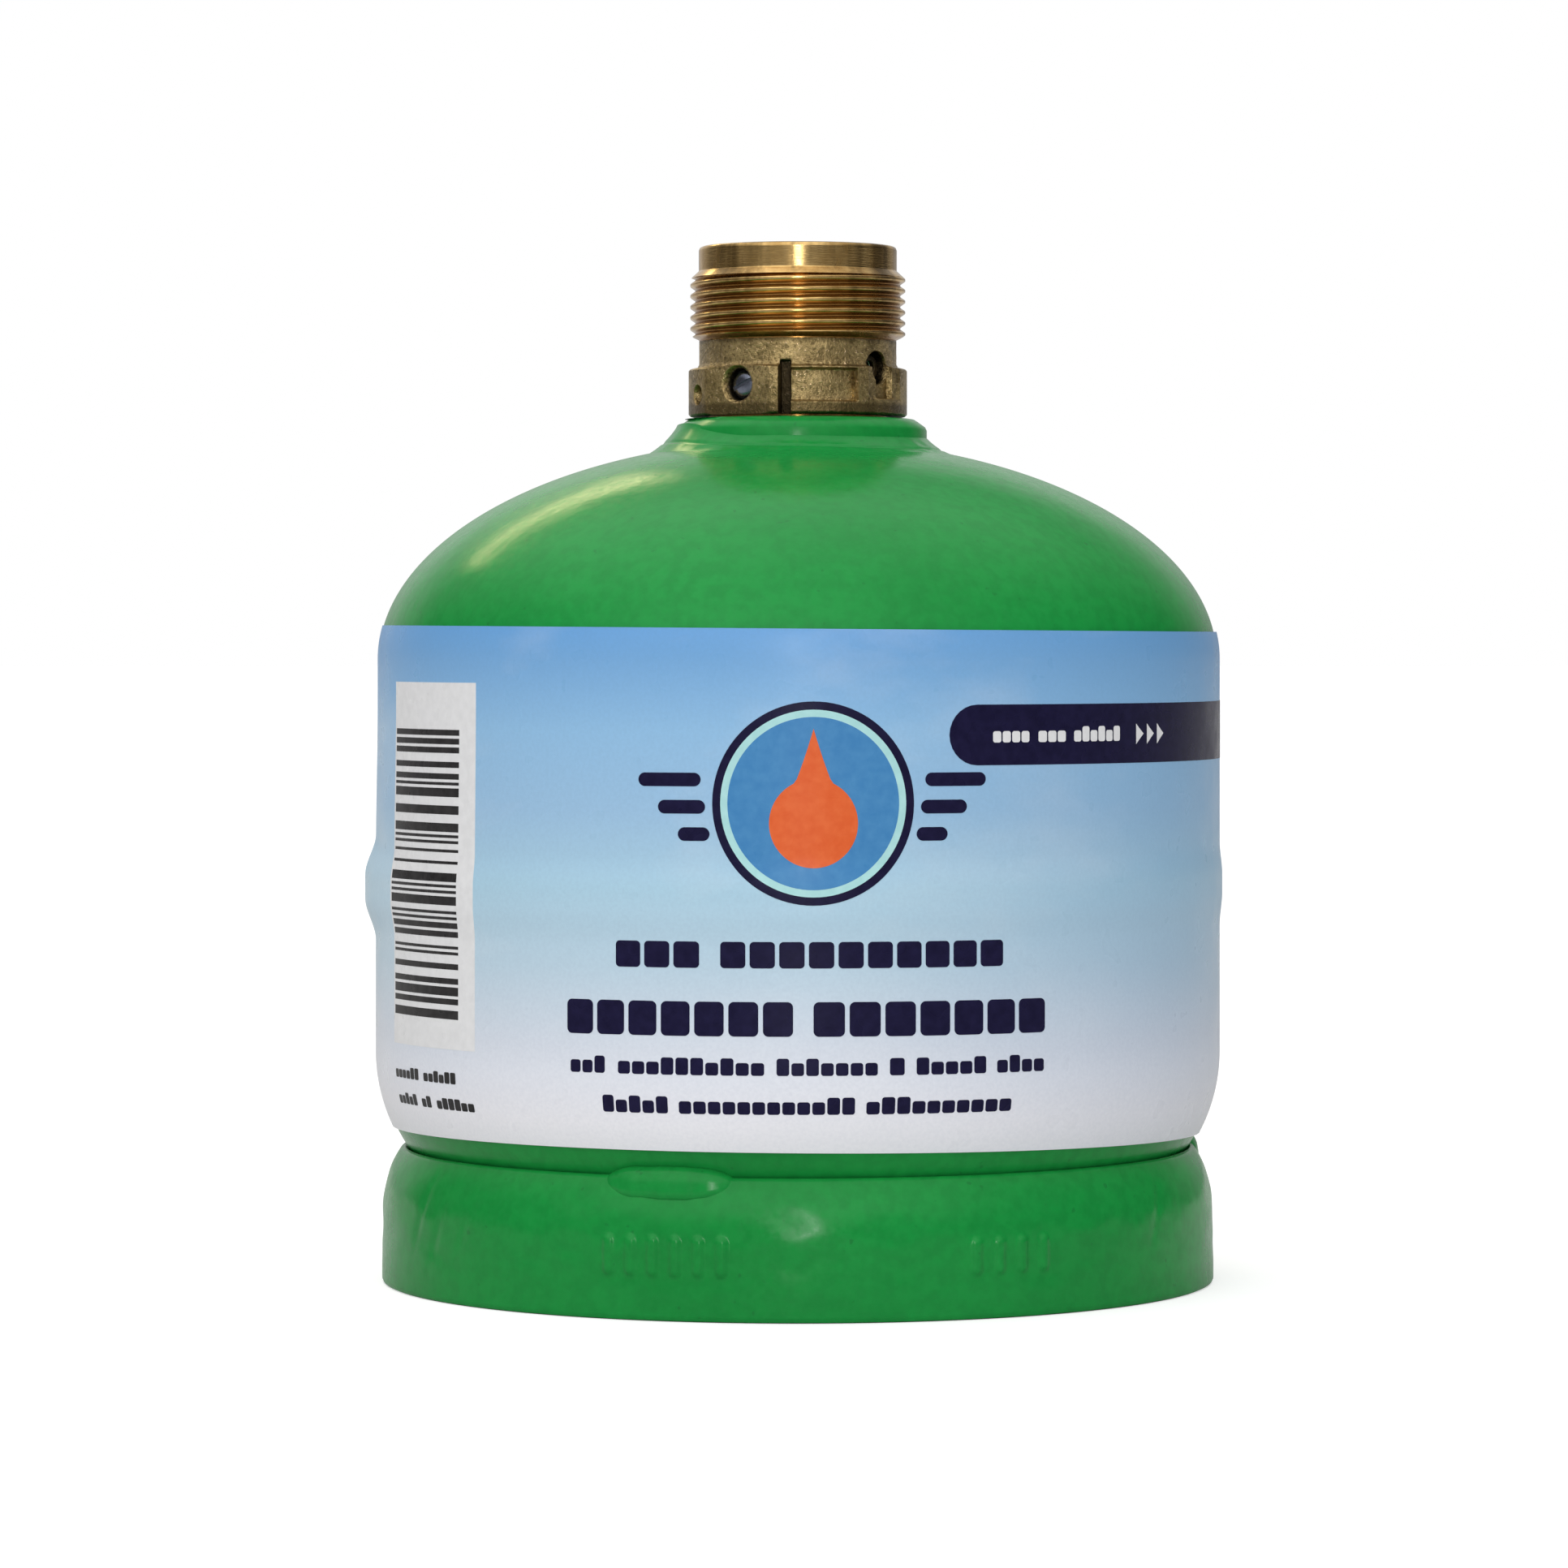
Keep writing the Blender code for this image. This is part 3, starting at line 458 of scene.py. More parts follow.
def forged_brass():
    """Forged brass, left rough: a sparkling sandy grain, darkened by painted shade in its deep cuts."""
    brass = Finish("forged_brass")
    grain = brass.noise(2300.0, 3.0, 0.7)
    cloud = brass.spread(brass.noise(420.0, 3.0, 0.6), 0.35, 0.68, 0.0, 1.0)
    distance, height = brass.position()
    colour = brass.layers(
        brass.blend(cloud, (0.50, 0.365, 0.165), (0.215, 0.155, 0.065)),
        (grain, 0.32, 0.50, 0.75, 0.0, (0.09, 0.06, 0.025)),
        (grain, 0.60, 0.70, 0.0, 0.8, (0.85, 0.62, 0.38)),
        # painted shade: the skirt is coloured darker along its lower edge, next to the boss
        (height, (RECESS_BOTTOM - 0.4) * MM, (RECESS_BOTTOM + 0.1) * MM, 0.75, 0.0, (0.08, 0.055, 0.022)),
        # painted shade: the neck is coloured darker just under the thread's overhang
        (height, (NECK_TOP - 0.7) * MM, NECK_TOP * MM, 0.0, 0.8, (0.03, 0.02, 0.01)),
        # painted shade: the deep cuts, the groove and the bores, are coloured near black
        (distance, DEEP_CUT_SHADE_RADIUS * MM, (DEEP_CUT_SHADE_RADIUS + 0.35) * MM, 0.95, 0.0, (0.02, 0.015, 0.009)),
    )
    return brass.done({
        "Base Color": colour,
        "Roughness": brass.spread(grain, 0.3, 0.7, 0.44, 0.24),
        "Normal": brass.bump(grain, 0.00018),
        "Metallic": 1.0,
    })


def rubber_material():
    rubber = Finish("black_rubber")
    bloom = rubber.noise(700.0, 3.0)
    return rubber.done({
        "Base Color": rubber.blend(bloom, (0.012, 0.012, 0.013), (0.035, 0.035, 0.037)),
        "Roughness": rubber.spread(bloom, 0.3, 0.7, 0.55, 0.75),
        "Normal": rubber.bump(rubber.noise(2500.0), 0.00002),
    })


def steel_material(name, colour, worn, roughness):
    """Bare or plated steel with fine scratches."""
    steel = Finish(name)
    cloud = steel.noise(800.0, 3.0)
    scratches = steel.noise(6000.0, stretch=(1.0, 0.08, 0.08))
    return steel.done({
        "Base Color": steel.blend(cloud, colour, worn),
        "Roughness": steel.spread(cloud, 0.3, 0.7, roughness - 0.06, roughness + 0.08),
        "Normal": steel.bump(scratches, 0.00001),
        "Metallic": 1.0,
    })


# --- mesh helpers -----------------------------------------------------------------------------

SHARP_ANGLE = math.radians(30.0)
SMOOTH_ANGLE = math.radians(38.0)
SOFT_ANGLE = math.radians(60.0)


def full_turn(steps):
    """Evenly spaced azimuths all the way round."""
    return np.arange(steps) * 360.0 / steps


def around_axis(radius, azimuths, heights):
    """The points at some radii, azimuths and heights."""
    angles = np.radians(azimuths)
    parts = np.broadcast_arrays(radius * np.sin(angles), -radius * np.cos(angles), heights)
    return np.stack(parts, axis=-1)


def wrapped(azimuths):
    """Azimuths brought within half a turn of 0."""
    return (azimuths + 180.0) % 360.0 - 180.0


def smooth_step(value, low, high):
    """0 below low, 1 above high, with a smooth rise between them."""
    share = np.clip((value - low) / (high - low), 0.0, 1.0)
    return share * share * (3.0 - 2.0 * share)


def wander(azimuths, seed, terms, first=1):
    """A smooth, repeatable ripple round the axis, about -1 to 1."""
    draw = random.Random(seed)
    angles = np.radians(azimuths)
    total = np.zeros_like(angles)
    weight = 0.0
    for term in range(first, first + terms):
        size = 1.0 / math.sqrt(term)
        total += size * np.sin(term * angles + draw.uniform(0.0, math.tau))
        weight += size * size
    return total / math.sqrt(0.5 * weight) * 0.5


def quads_between(rows, columns, wrap_rows, wrap_columns):
    """The faces of a grid of points, joined up where it wraps round."""
    across = np.arange(columns if wrap_columns else columns - 1)
    down = np.arange(rows if wrap_rows else rows - 1)
    row, column = np.meshgrid(down, across, indexing="ij")
    next_row = (row + 1) % rows
    next_column = (column + 1) % columns
    corners = (row, column), (next_row, column), (next_row, next_column), (row, next_column)
    return np.stack([r * columns + c for r, c in corners], axis=-1).reshape(-1, 4)


def signed_volume(points, faces):
    """Positive where the faces point out, and six times the volume."""
    a, b, c, d = (points[faces[:, corner]] for corner in range(4))
    halves = np.einsum("ij,ij->i", a, np.cross(b, c)) + np.einsum("ij,ij->i", a, np.cross(c, d))
    return halves.sum()


def solid_mesh(name, points, quads, caps=(), sharp=SMOOTH_ANGLE):
    """A closed mesh whose faces are turned to point out, with its caps' faces last."""
    points = points.reshape(-1, 3)
    faces = quads.tolist() + list(caps)
    if signed_volume(points - points.mean(axis=0), quads) < 0.0:
        faces = [face[::-1] for face in faces]
    return mesh_from(name, points, faces, sharp)


def mesh_from(name, points, faces, sharp):
    mesh = bpy.data.meshes.new(name)
    mesh.from_pydata((points * MM).tolist(), [], faces)
    mesh.validate()
    mesh.shade_smooth()
    mesh.set_sharp_from_angle(angle=sharp)
    return mesh


def ring_mesh(name, radius, height, azimuths, sharp=SMOOTH_ANGLE):
    """A closed mesh round the axis from a closed cross-section.

    radius and height hold one row for each point of the section and one column for each azimuth.
    """
    quads = quads_between(*radius.shape, True, True)
    return solid_mesh(name, around_axis(radius, azimuths, height), quads, sharp=sharp)


def swept(section, steps):
    """The radius and height of a section of (radius, height) points at each step round the axis."""
    section = np.array(section)
    return np.repeat(section[:, :1], steps, axis=1), np.repeat(section[:, 1:], steps, axis=1)


def lathe_ring(name, section, steps):
    """A closed ring turned from a closed section of (radius, height) points."""
    return ring_mesh(name, *swept(section, steps), full_turn(steps))


def lathe_solid(name, outline, steps):
    """A solid turned from an outline whose first and last points are on the axis."""
    radius, height = swept(outline[1:-1], steps)
    rings = around_axis(radius, full_turn(steps), height).reshape(-1, 3)
    points = np.concatenate([rings, [[0.0, 0.0, outline[0][1]], [0.0, 0.0, outline[-1][1]]]])
    last_ring = (len(outline) - 3) * steps
    first = len(points) - 2
    caps = []
    for index in range(steps):
        after = (index + 1) % steps
        caps.append([first, index, after])
        caps.append([first + 1, last_ring + after, last_ring + index])
    return solid_mesh(name, points, quads_between(len(outline) - 2, steps, False, True), caps)


def capped_tube(name, points, sharp=SMOOTH_ANGLE):
    """A tube with flat ends, from rows of points that run along it."""
    rows, columns = points.shape[:2]
    near = [row * columns for row in range(rows)]
    far = [row * columns + columns - 1 for row in reversed(range(rows))]
    return solid_mesh(name, points, quads_between(rows, columns, True, False), (near, far), sharp)


def arc(centre, radius, first, last, steps):
    angles = np.radians(np.linspace(first, last, steps + 1))
    return [(centre[0] + radius * math.cos(a), centre[1] + radius * math.sin(a)) for a in angles]


def outward_matrix(azimuth, height):
    """Local Z points outwards at an azimuth and local Y up, as in the CAD's radial bores."""
    turn = Matrix.Rotation(math.radians(azimuth), 4, "Z") @ Matrix.Rotation(math.radians(90.0), 4, "X")
    return Matrix.Translation((0.0, 0.0, height * MM)) @ turn


def make_piece(mesh, slot, *materials, body="root", stands_for=None):
    """Puts a mesh in the scene, on its body, standing for a CAD node where it is given one."""
    for material in materials:
        mesh.materials.append(material)
    obj = put(mesh.name, mesh)
    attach(obj, body)
    if stands_for:
        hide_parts(stands_for)
    return obj


# --- painted steel ----------------------------------------------------------------------------

BODY_STEPS = 240


def dome_height(radius, inset=0.0):
    across = np.asarray(radius) / (BODY_RADIUS - inset)
    return DOME_BASE + (DOME_RISE - inset) * np.sqrt(1.0 - across * across)


def upper_shell(paint):
    def side(inset):
        width = BODY_RADIUS - inset
        rise = DOME_RISE - inset
        angles = np.linspace(math.acos(DOME_HOLE / width), 0.0, 64)
        return [(width * math.cos(a), DOME_BASE + rise * math.sin(a)) for a in angles]

    outside = side(0.0) + [(BODY_RADIUS, UPPER_EDGE)]
    inside = [(BODY_RADIUS - WALL, UPPER_EDGE)] + side(WALL)[::-1]
    mesh = lathe_ring("painted_upper_shell", outside + inside, BODY_STEPS)
    make_piece(mesh, "green_paint", paint, stands_for="upper_shell")


def lower_shell(paint):
    knuckle_centre = (BODY_RADIUS - KNUCKLE_RADIUS, KNUCKLE_START)
    crown_height = KNUCKLE_START + (CROWN_RADIUS - KNUCKLE_RADIUS) * math.sin(math.radians(KNUCKLE_ANGLE))

    def base(inset):
        knuckle = arc(knuckle_centre, KNUCKLE_RADIUS - inset, 0.0, -KNUCKLE_ANGLE, 28)
        crown = arc((0.0, crown_height), CROWN_RADIUS - inset, -KNUCKLE_ANGLE, -90.0, 16)
        return knuckle + crown[1:-1] + [(0.0, crown[-1][1])]

    inner = BODY_RADIUS - WALL
    lip = JOGGLE_RADIUS - WALL
    outside = [(JOGGLE_RADIUS, JOGGLE_TOP), (JOGGLE_RADIUS, JOGGLE_BOTTOM), (BODY_RADIUS, 43.5)]
    inside = [(lip, JOGGLE_TOP), (lip, 45.0), (inner, 42.7)]
    outline = (inside + base(WALL))[::-1] + outside + base(0.0)
    mesh = lathe_solid("painted_lower_shell", outline, BODY_STEPS)
    make_piece(mesh, "green_paint", paint, stands_for="lower_shell")


def valve_boss(paint):
    """The threaded boss. On the left its shoulder is melted away under the weld."""
    section = [
        (DOME_HOLE, BOSS_TOP),
        (13.7, BOSS_TOP - 0.06),
        (14.1, BOSS_TOP - 0.30),
        (BOSS_RADIUS - 0.20, BOSS_TOP - 0.95),
        (BOSS_RADIUS, BOSS_TOP - 1.35),
        (BOSS_RADIUS, 96.8),
        (BOSS_SPIGOT, 96.6),
        (BOSS_SPIGOT, BOSS_BOTTOM),
        (BOSS_BORE, BOSS_BOTTOM),
        (BOSS_BORE, BOSS_TOP),
    ]
    azimuths = full_turn(BODY_STEPS)
    radius, height = swept(section, BODY_STEPS)
    radius[1:6] += 0.05 * wander(azimuths, 3, 9) - 0.85 * melted(azimuths)
    mesh = ring_mesh("painted_boss", np.minimum(radius, BOSS_RADIUS), height, azimuths)
    make_piece(mesh, "green_paint", paint, stands_for="valve_boss")


def melted(azimuths):
    """1 at the left of the boss, where the weld has run up over its shoulder, and 0 elsewhere."""
    return 1.0 - smooth_step(np.abs(wrapped(azimuths - MELTED_AZIMUTH)), 30.0, 85.0)


def boss_weld(paint):
    """The fillet weld between the boss and the dome, laid in two uneven runs."""
    azimuths = full_turn(2 * BODY_STEPS)
    toe = BOSS_RADIUS + 2.9 + 0.35 * wander(azimuths, 11, 7) + 0.5 * np.sin(np.radians(azimuths))
    toe = np.clip(toe - 0.4 * melted(azimuths), BOSS_RADIUS + 1.6, 18.9)
    inner = BOSS_RADIUS - 0.2 - 0.8 * melted(azimuths)
    start = 99.0 + 0.2 * wander(azimuths, 12, 6) + 1.15 * melted(azimuths)
    ripple = 0.06 * wander(azimuths, 13, 12, first=26) * (1.0 - 0.8 * melted(azimuths))
    meeting = 0.52 + 0.07 * wander(azimuths, 15, 5)
    toe_height = dome_height(toe) - 0.05
    rows_radius = []
    rows_height = []
    for share in np.linspace(0.0, 1.0, 41):
        sag = math.sin(math.pi * share)
        rows_radius.append(inner + (toe - inner) * share)
        straight = start + (toe_height - start) * share ** 0.80
        crease = np.exp(-((share - meeting) / 0.055) ** 2)
        scallop = ripple * np.abs(np.sin(math.tau * share)) * np.sin(math.pi * share)
        rows_height.append(straight - 0.18 * sag - 0.13 * crease * sag + scallop)
    rows_radius += [toe - 0.3, inner]
    rows_height += [dome_height(toe) - 0.8, dome_height(inner) - 0.8]
    radius, height = np.array(rows_radius), np.array(rows_height)
    mesh = ring_mesh("painted_boss_weld", radius, height, azimuths, SOFT_ANGLE)
    make_piece(mesh, "green_paint", paint, stands_for="boss_weld")


def foot_outside(heights):
    """The foot ring's outer face: straight below, curled in towards the shell above."""
    share = np.clip((heights - FOOT_STRAIGHT) / (FOOT_LIP - FOOT_STRAIGHT), 0.0, 1.0)
    return FOOT_RADIUS - FOOT_TUCK * share ** 2.6


def foot_section():
    """The foot ring's closed section, with a rolled lip that nearly meets the shell."""
    rounding = 0.45
    outer = np.linspace(FOOT_LIP, rounding, FOOT_ROWS)
    outside = list(zip(foot_outside(outer), outer))
    corner = 0.3 * rounding
    inner_radius = FOOT_RADIUS - FOOT_WALL
    foot = [(FOOT_RADIUS - corner, corner), (FOOT_RADIUS - rounding, 0.0)]
    foot += [(inner_radius + rounding, 0.0), (inner_radius + corner, corner)]
    inner = np.linspace(rounding, FOOT_LIP - 0.8, 24)
    inside = list(zip(foot_outside(inner) - FOOT_WALL, inner))
    tip = FOOT_RADIUS - FOOT_TUCK
    lip = ((0.95, -0.45), (0.75, 0.0), (0.48, 0.18), (0.18, 0.14))
    return outside + foot + inside + [(tip - back, FOOT_LIP + up) for back, up in lip]


STROKES = [(-25.5 + 3.1 * number, 7.2, 1.6) for number in range(6)]
STROKES += [(24.0 + 3.4 * number, 7.0, 1.4) for number in range(4)]
STROKE_WIDTH = 0.85
STROKE_LIFT = 0.36
DENTS = ((-62.0, 9.5, 0.14), (-57.5, 7.5, 0.12), (-50.5, 9.0, 0.08), (57.0, 10.0, 0.10))


def stamped_marks(azimuths, heights):
    """Plain raised strokes, softened by the paint, with a few dents left by the rolling."""
    total = np.zeros_like(heights)
    for azimuth, middle, rise in STROKES:
        away = np.radians(azimuths - azimuth) * FOOT_RADIUS
        up = np.maximum(np.abs(heights - middle) - rise, 0.0)
        total += STROKE_LIFT * (1.0 - smooth_step(np.hypot(away, up), 0.30 * STROKE_WIDTH, STROKE_WIDTH))
    for azimuth, middle, depth in DENTS:
        away = np.radians(azimuths - azimuth - 0.5 * (heights - middle)) * FOOT_RADIUS / 0.8
        up = (heights - middle) / 3.4
        total -= depth * np.exp(-(away * away + up * up))
    return total


def foot_ring(paint):
    steps = 1200
    azimuths = full_turn(steps)
    radius, height = swept(foot_section(), steps)
    swirl = np.sin(1.3 * height + 2.0 * wander(azimuths, 25, 9, first=5))
    dents = 0.06 * wander(azimuths, 22, 16, first=6) - 0.08
    dents = dents + 0.05 * wander(azimuths, 24, 22, first=18) * swirl
    outside = height[:FOOT_ROWS]
    radius[:FOOT_ROWS] += stamped_marks(wrapped(azimuths), outside)
    radius += smooth_step(height, 2.0, 6.0) * dents * (1.0 - 0.7 * smooth_step(height, 12.0, 15.0))
    radius = np.minimum(radius, FOOT_RADIUS + FOOT_PROUD)
    mesh = ring_mesh("painted_foot_ring", radius, height, azimuths)
    make_piece(mesh, "green_paint", paint, stands_for="foot_ring")


def tack_weld(number, azimuth, paint):
    """A short low bead that fills the crease above the foot ring."""
    half_angle = 9.4
    along = np.linspace(-1.0, 1.0, 81)
    size = np.clip(1.0 - np.abs(along) ** 3.2, 0.0, 1.0) ** 0.6 * 0.98 + 0.02
    size = size * (1.0 + 0.03 * wander(along * 180.0, 30 + number, 4, first=2))
    root = (46.2, 15.3)
    outline = [(46.5, 17.0), (47.05, 16.75), (47.5, 16.2), (47.78, 15.5), (47.9, 14.8), (47.98, 14.2)]
    outline += [(47.95, 13.75), (47.8, 13.4), (47.5, 13.3), (46.6, 13.9), (45.6, 14.8), (45.5, 16.0)]
    outline += [(46.0, 16.8)]
    ripple = 0.03 * wander(along * 180.0, 40 + number, 6, first=5) * size
    rows = []
    for reach_out, level in rounded(outline):
        radius = root[0] + (reach_out - root[0]) * (0.55 + 0.45 * size) + ripple * (reach_out > 47.0)
        height = root[1] + (level - root[1]) * size
        radius = radius - 0.9 * (1.0 - size)
        rows.append(around_axis(radius, azimuth + along * half_angle, height))
    mesh = capped_tube(f"painted_foot_weld_{number}", np.array(rows), SOFT_ANGLE)
    make_piece(mesh, "green_paint", paint, stands_for=f"foot_weld_{number}")


def rounded(outline):
    """A closed outline cut twice at its corners, which rounds it."""
    for _ in range(2):
        cut = []
        for (x0, y0), (x1, y1) in zip(outline, outline[1:] + outline[:1]):
            cut.append((0.75 * x0 + 0.25 * x1, 0.75 * y0 + 0.25 * y1))
            cut.append((0.25 * x0 + 0.75 * x1, 0.25 * y0 + 0.75 * y1))
        outline = cut
    return outline


def girth_weld(paint):
    """The weld's bead, hidden by the label that it lifts."""
    azimuths = full_turn(BODY_STEPS)
    low, high = WELD_MIDDLE - WELD_HALF + 0.3, WELD_MIDDLE + WELD_HALF - 0.3
    heights = np.linspace(high, low, 13)[:, None] + 0.0 * azimuths
    outer = label_radius(azimuths[None, :], heights) - 0.30
    inner = np.full((2, BODY_STEPS), 47.4)
    radius = np.concatenate([outer, inner])
    height = np.concatenate([heights, [heights[-1], heights[0]]])
    mesh = ring_mesh("painted_girth_weld", radius, height, azimuths)
    make_piece(mesh, "green_paint", paint, stands_for="girth_weld")


# --- label ------------------------------------------------------------------------------------


def label_tilt(azimuths):
    """The label went on slightly askew, so that its right side is lower."""
    return -LABEL_TILT * np.sin(np.radians(azimuths))


def label_bottom(azimuths):
    """The label's lower edge is bowed: higher at the front than at the sides."""
    bow = 0.5 + 0.5 * np.cos(np.radians(azimuths))
    return LABEL_SIDE_BOTTOM + (LABEL_FRONT_BOTTOM - LABEL_SIDE_BOTTOM) * bow + label_tilt(azimuths)


def label_radius(azimuths, heights, lift=0.0):
    """The label's outer surface: the shell, the weld's hump under it and the lower knuckle."""
    azimuths, heights = np.broadcast_arrays(np.asarray(azimuths, float), np.asarray(heights, float))
    proud = LABEL_REACH - LABEL_RADIUS - 0.06
    knuckle = KNUCKLE_RADIUS + 0.4
    from_lump = wrapped(azimuths - LUMP_AZIMUTH)
    lump = np.exp(-(from_lump / 17.0) ** 2)
    crest = proud * (0.22 + 0.78 * lump) + 0.06 * wander(azimuths, 51, 8, first=2)
    crest = np.clip(crest, 0.2, proud)
    away = np.abs(heights - WELD_MIDDLE - 0.3 * wander(azimuths, 52, 5)) / (WELD_HALF + 1.2 * crest)
    hump = crest * (1.0 - smooth_step(away, 0.25, 1.15))
    below = np.clip((KNUCKLE_START - heights) / knuckle, 0.0, 0.9)
    tuck = knuckle * (1.0 - np.sqrt(1.0 - below * below))
    above = np.clip((heights - DOME_BASE) / DOME_RISE, 0.0, 0.9)
    lean = BODY_RADIUS * (1.0 - np.sqrt(1.0 - above * above))
    snug = 0.2 * smooth_step(heights, 50.0, 68.0) * smooth_step(np.abs(from_lump), 70.0, 30.0)
    slack = 0.04 * wander(azimuths, 53, 6, first=3) * np.sin(np.radians(heights * 4.0))
    radius = LABEL_RADIUS + hump - tuck - lean - snug + slack - 0.05
    return np.minimum(radius, LABEL_REACH - 0.03) + lift


def label_wrap(film):
    azimuths = full_turn(3 * BODY_STEPS)
    low = label_bottom(azimuths)
    tops = LABEL_TOP + label_tilt(azimuths)
    shares = np.linspace(0.0, 1.0, 150)[:, None]
    height = tops + (low - tops) * shares
    outer = label_radius(azimuths[None, :], height)
    radius = np.concatenate([outer, outer[::-1] - LABEL_THICKNESS])
    height = np.concatenate([height, height[::-1]])
    mesh = ring_mesh("label_film", radius, height, azimuths, SOFT_ANGLE)
    make_piece(mesh, "printed_film", film, stands_for="label_wrap")


class Print:
    """Collects flat printed shapes in one ink, wrapped onto the label."""

    def __init__(self, lift):
        self.lift = lift
        self.points = []
        self.faces = []

    def columns(self, azimuths, lows, highs):
        """A shape given by its lower and upper edge at a run of azimuths."""
        azimuths, lows, highs = (np.asarray(values, float) for values in (azimuths, lows, highs))
        rows = max(2, int((highs - lows).max() / 0.6) + 2)
        shares = np.linspace(0.0, 1.0, rows)[:, None]
        height = lows + (highs - lows) * shares
        start = sum(len(block) for block in self.points)
        for lift in (self.lift - 0.012, self.lift):
            radius = label_radius(azimuths[None, :], height, lift)
            self.points.append(around_axis(radius, azimuths, height).reshape(-1, 3))
        count = len(azimuths)
        size = rows * count
        quads = quads_between(rows, count, False, False)
        back = start + quads[:, ::-1]
        front = start + size + quads
        rim = list(range(count))
        rim += [row * count + count - 1 for row in range(1, rows)]
        rim += [(rows - 1) * count + column for column in range(count - 2, -1, -1)]
        rim += [row * count for row in range(rows - 2, 0, -1)]
        edge = []
        for here, after in zip(rim, rim[1:] + rim[:1]):
            edge.append([start + here, start + after, start + size + after, start + size + here])
        self.faces += back.tolist() + front.tolist() + edge

    def bar(self, first, last, low, high, rounded=(True, True), corner=None):
        """A bar between two azimuths, with its ends rounded or square."""
        corner = 0.5 * (high - low) if corner is None else corner
        turn = math.degrees(corner / LABEL_RADIUS)
        ease = 1.0 - np.cos(np.radians(np.linspace(0.0, 90.0, 8)))
        places = [first + turn * ease] if rounded[0] else [np.array([first])]
        inner_first = places[0][-1]
        inner_last = last - turn if rounded[1] else last
        count = max(2, int((inner_last - inner_first) / 1.5) + 2)
        places.append(np.linspace(inner_first, inner_last, count)[1:])
        if rounded[1]:
            places.append(inner_last + turn * (1.0 - ease[::-1])[1:])
        azimuths = np.concatenate(places)
        trim = np.zeros_like(azimuths)
        for is_round, past in ((rounded[0], first + turn - azimuths), (rounded[1], azimuths - last + turn)):
            if is_round:
                share = np.clip(past / turn, 0.0, 1.0)
                trim = np.maximum(trim, corner * (1.0 - np.sqrt(1.0 - share * share)))
        trim = np.minimum(trim, 0.5 * (high - low) - 0.01)
        self.columns(azimuths, low + trim, high - trim)

    def shape(self, azimuth, across, lows, highs):
        """A shape given in millimetres across, centred on an azimuth."""
        self.columns(azimuth + np.degrees(np.asarray(across) / LABEL_RADIUS), lows, highs)

    def disc(self, azimuth, height, radius, rise=0.0, steps=48):
        """A disc, or a drop that is round below and rises to a point above."""
        across = -radius * np.cos(np.linspace(0.02, math.pi - 0.02, steps + 1))
        half = np.sqrt(radius * radius - across * across)
        point = (1.0 - np.abs(across) / radius) ** 1.6
        self.shape(azimuth, across, height - half, height + np.maximum(half, rise * point))

    def finish(self, name, material):
        mesh = mesh_from(name, np.concatenate(self.points), self.faces, SHARP_ANGLE)
        make_piece(mesh, "printed_film", material)


TEXT_LINES = (
    # low and high edge, a letter's pitch in degrees, how far small letters stop short, and the
    # azimuths where each word starts and ends
    (39.1, 42.0, 3.9, 0.0, (-23.9, -12.1, -9.9, 27.8)),
    (31.6, 35.4, 4.3, 0.0, (-31.0, 0.0, 2.0, 34.2)),
    (27.3, 29.2, 2.0, 0.5, (-30.5, -25.2, -23.6, -4.0, -2.7, 10.5, 11.8, 14.0, 15.3, 25.1, 26.4, 33.7)),
    (23.0, 24.9, 2.0, 0.5, (-25.9, -16.6, -15.4, 7.6, 8.8, 28.9)),
)
TAB_LINE = (63.8, 65.5, 1.5, 0.45, (25.8, 31.4, 32.6, 37.2, 38.4, 47.0))
CODE_LINES = (
    (25.0, 26.3, 1.4, 0.35, (-68.6, -60.5, -59.2, -51.0)),
    (22.0, 23.3, 1.4, 0.35, (-68.6, -62.0, -60.6, -57.8, -56.4, -47.6)),
)
BADGE_AZIMUTH = 2.0
BADGE_HEIGHT = 57.2
BADGE_RADIUS = 11.2
STRIPE = 0.33
# first and last azimuth, low and high edge
TAB = (19.7, 104.0, 61.3, 68.0)
PANEL = (-69.2, -47.0, 28.9, 70.3)
STRIPES = (-68.7, -50.5, 32.3, 65.9)


def text_line(sheet, draw, low, high, pitch, short, words):
    """Stands in for printed words: rows of plain blocks, each as wide as a letter."""
    for first, last in zip(words[::2], words[1::2]):
        count = max(1, round((last - first) / pitch))
        step = (last - first) / count
        for number in range(count):
            place = first + step * number
            level = high - short * draw.choice((0.0, 1.0, 1.0))
            sheet.bar(place, place + step - 0.14 * pitch, low, level, corner=0.16 * (high - low))


def print_navy(ink):
    """The words, the tab at the right, the badge's edge and wings, and the text at the back."""
    sheet = Print(0.030)
    draw = random.Random(7)
    for line in TEXT_LINES:
        text_line(sheet, draw, *line)
    sheet.bar(*TAB, rounded=(True, False))
    sheet.disc(BADGE_AZIMUTH, BADGE_HEIGHT, BADGE_RADIUS)
    for side in (-1.0, 1.0):
        for number, length in enumerate((7.2, 5.4, 3.6)):
            gap = BADGE_RADIUS + 1.3 - 0.5 * number
            inner = BADGE_AZIMUTH + side * math.degrees(gap / LABEL_RADIUS)
            outer = inner + side * math.degrees(length / LABEL_RADIUS)
            middle = BADGE_HEIGHT + 2.6 - 3.0 * number
            sheet.bar(min(inner, outer), max(inner, outer), middle - 0.75, middle + 0.75)
    back_text(sheet)
    sheet.finish("print_navy", ink)


def back_text(sheet):
    """A heading and two columns of small print at the back, as plain bars."""
    sheet.bar(140.0, 196.0, 64.2, 66.8)
    draw = random.Random(31)
    for column in (140.0, 184.0):
        for row in range(12):
            low = 59.6 - 2.7 * row
            place = column
            end = column + 40.0 - draw.choice((0.0, 1.5, 3.0, 12.0))
            while place < end - 3.0:
                stop = min(place + draw.uniform(3.0, 9.0), end)
                sheet.bar(place, stop, low, low + 1.0)
                place = stop + 1.6


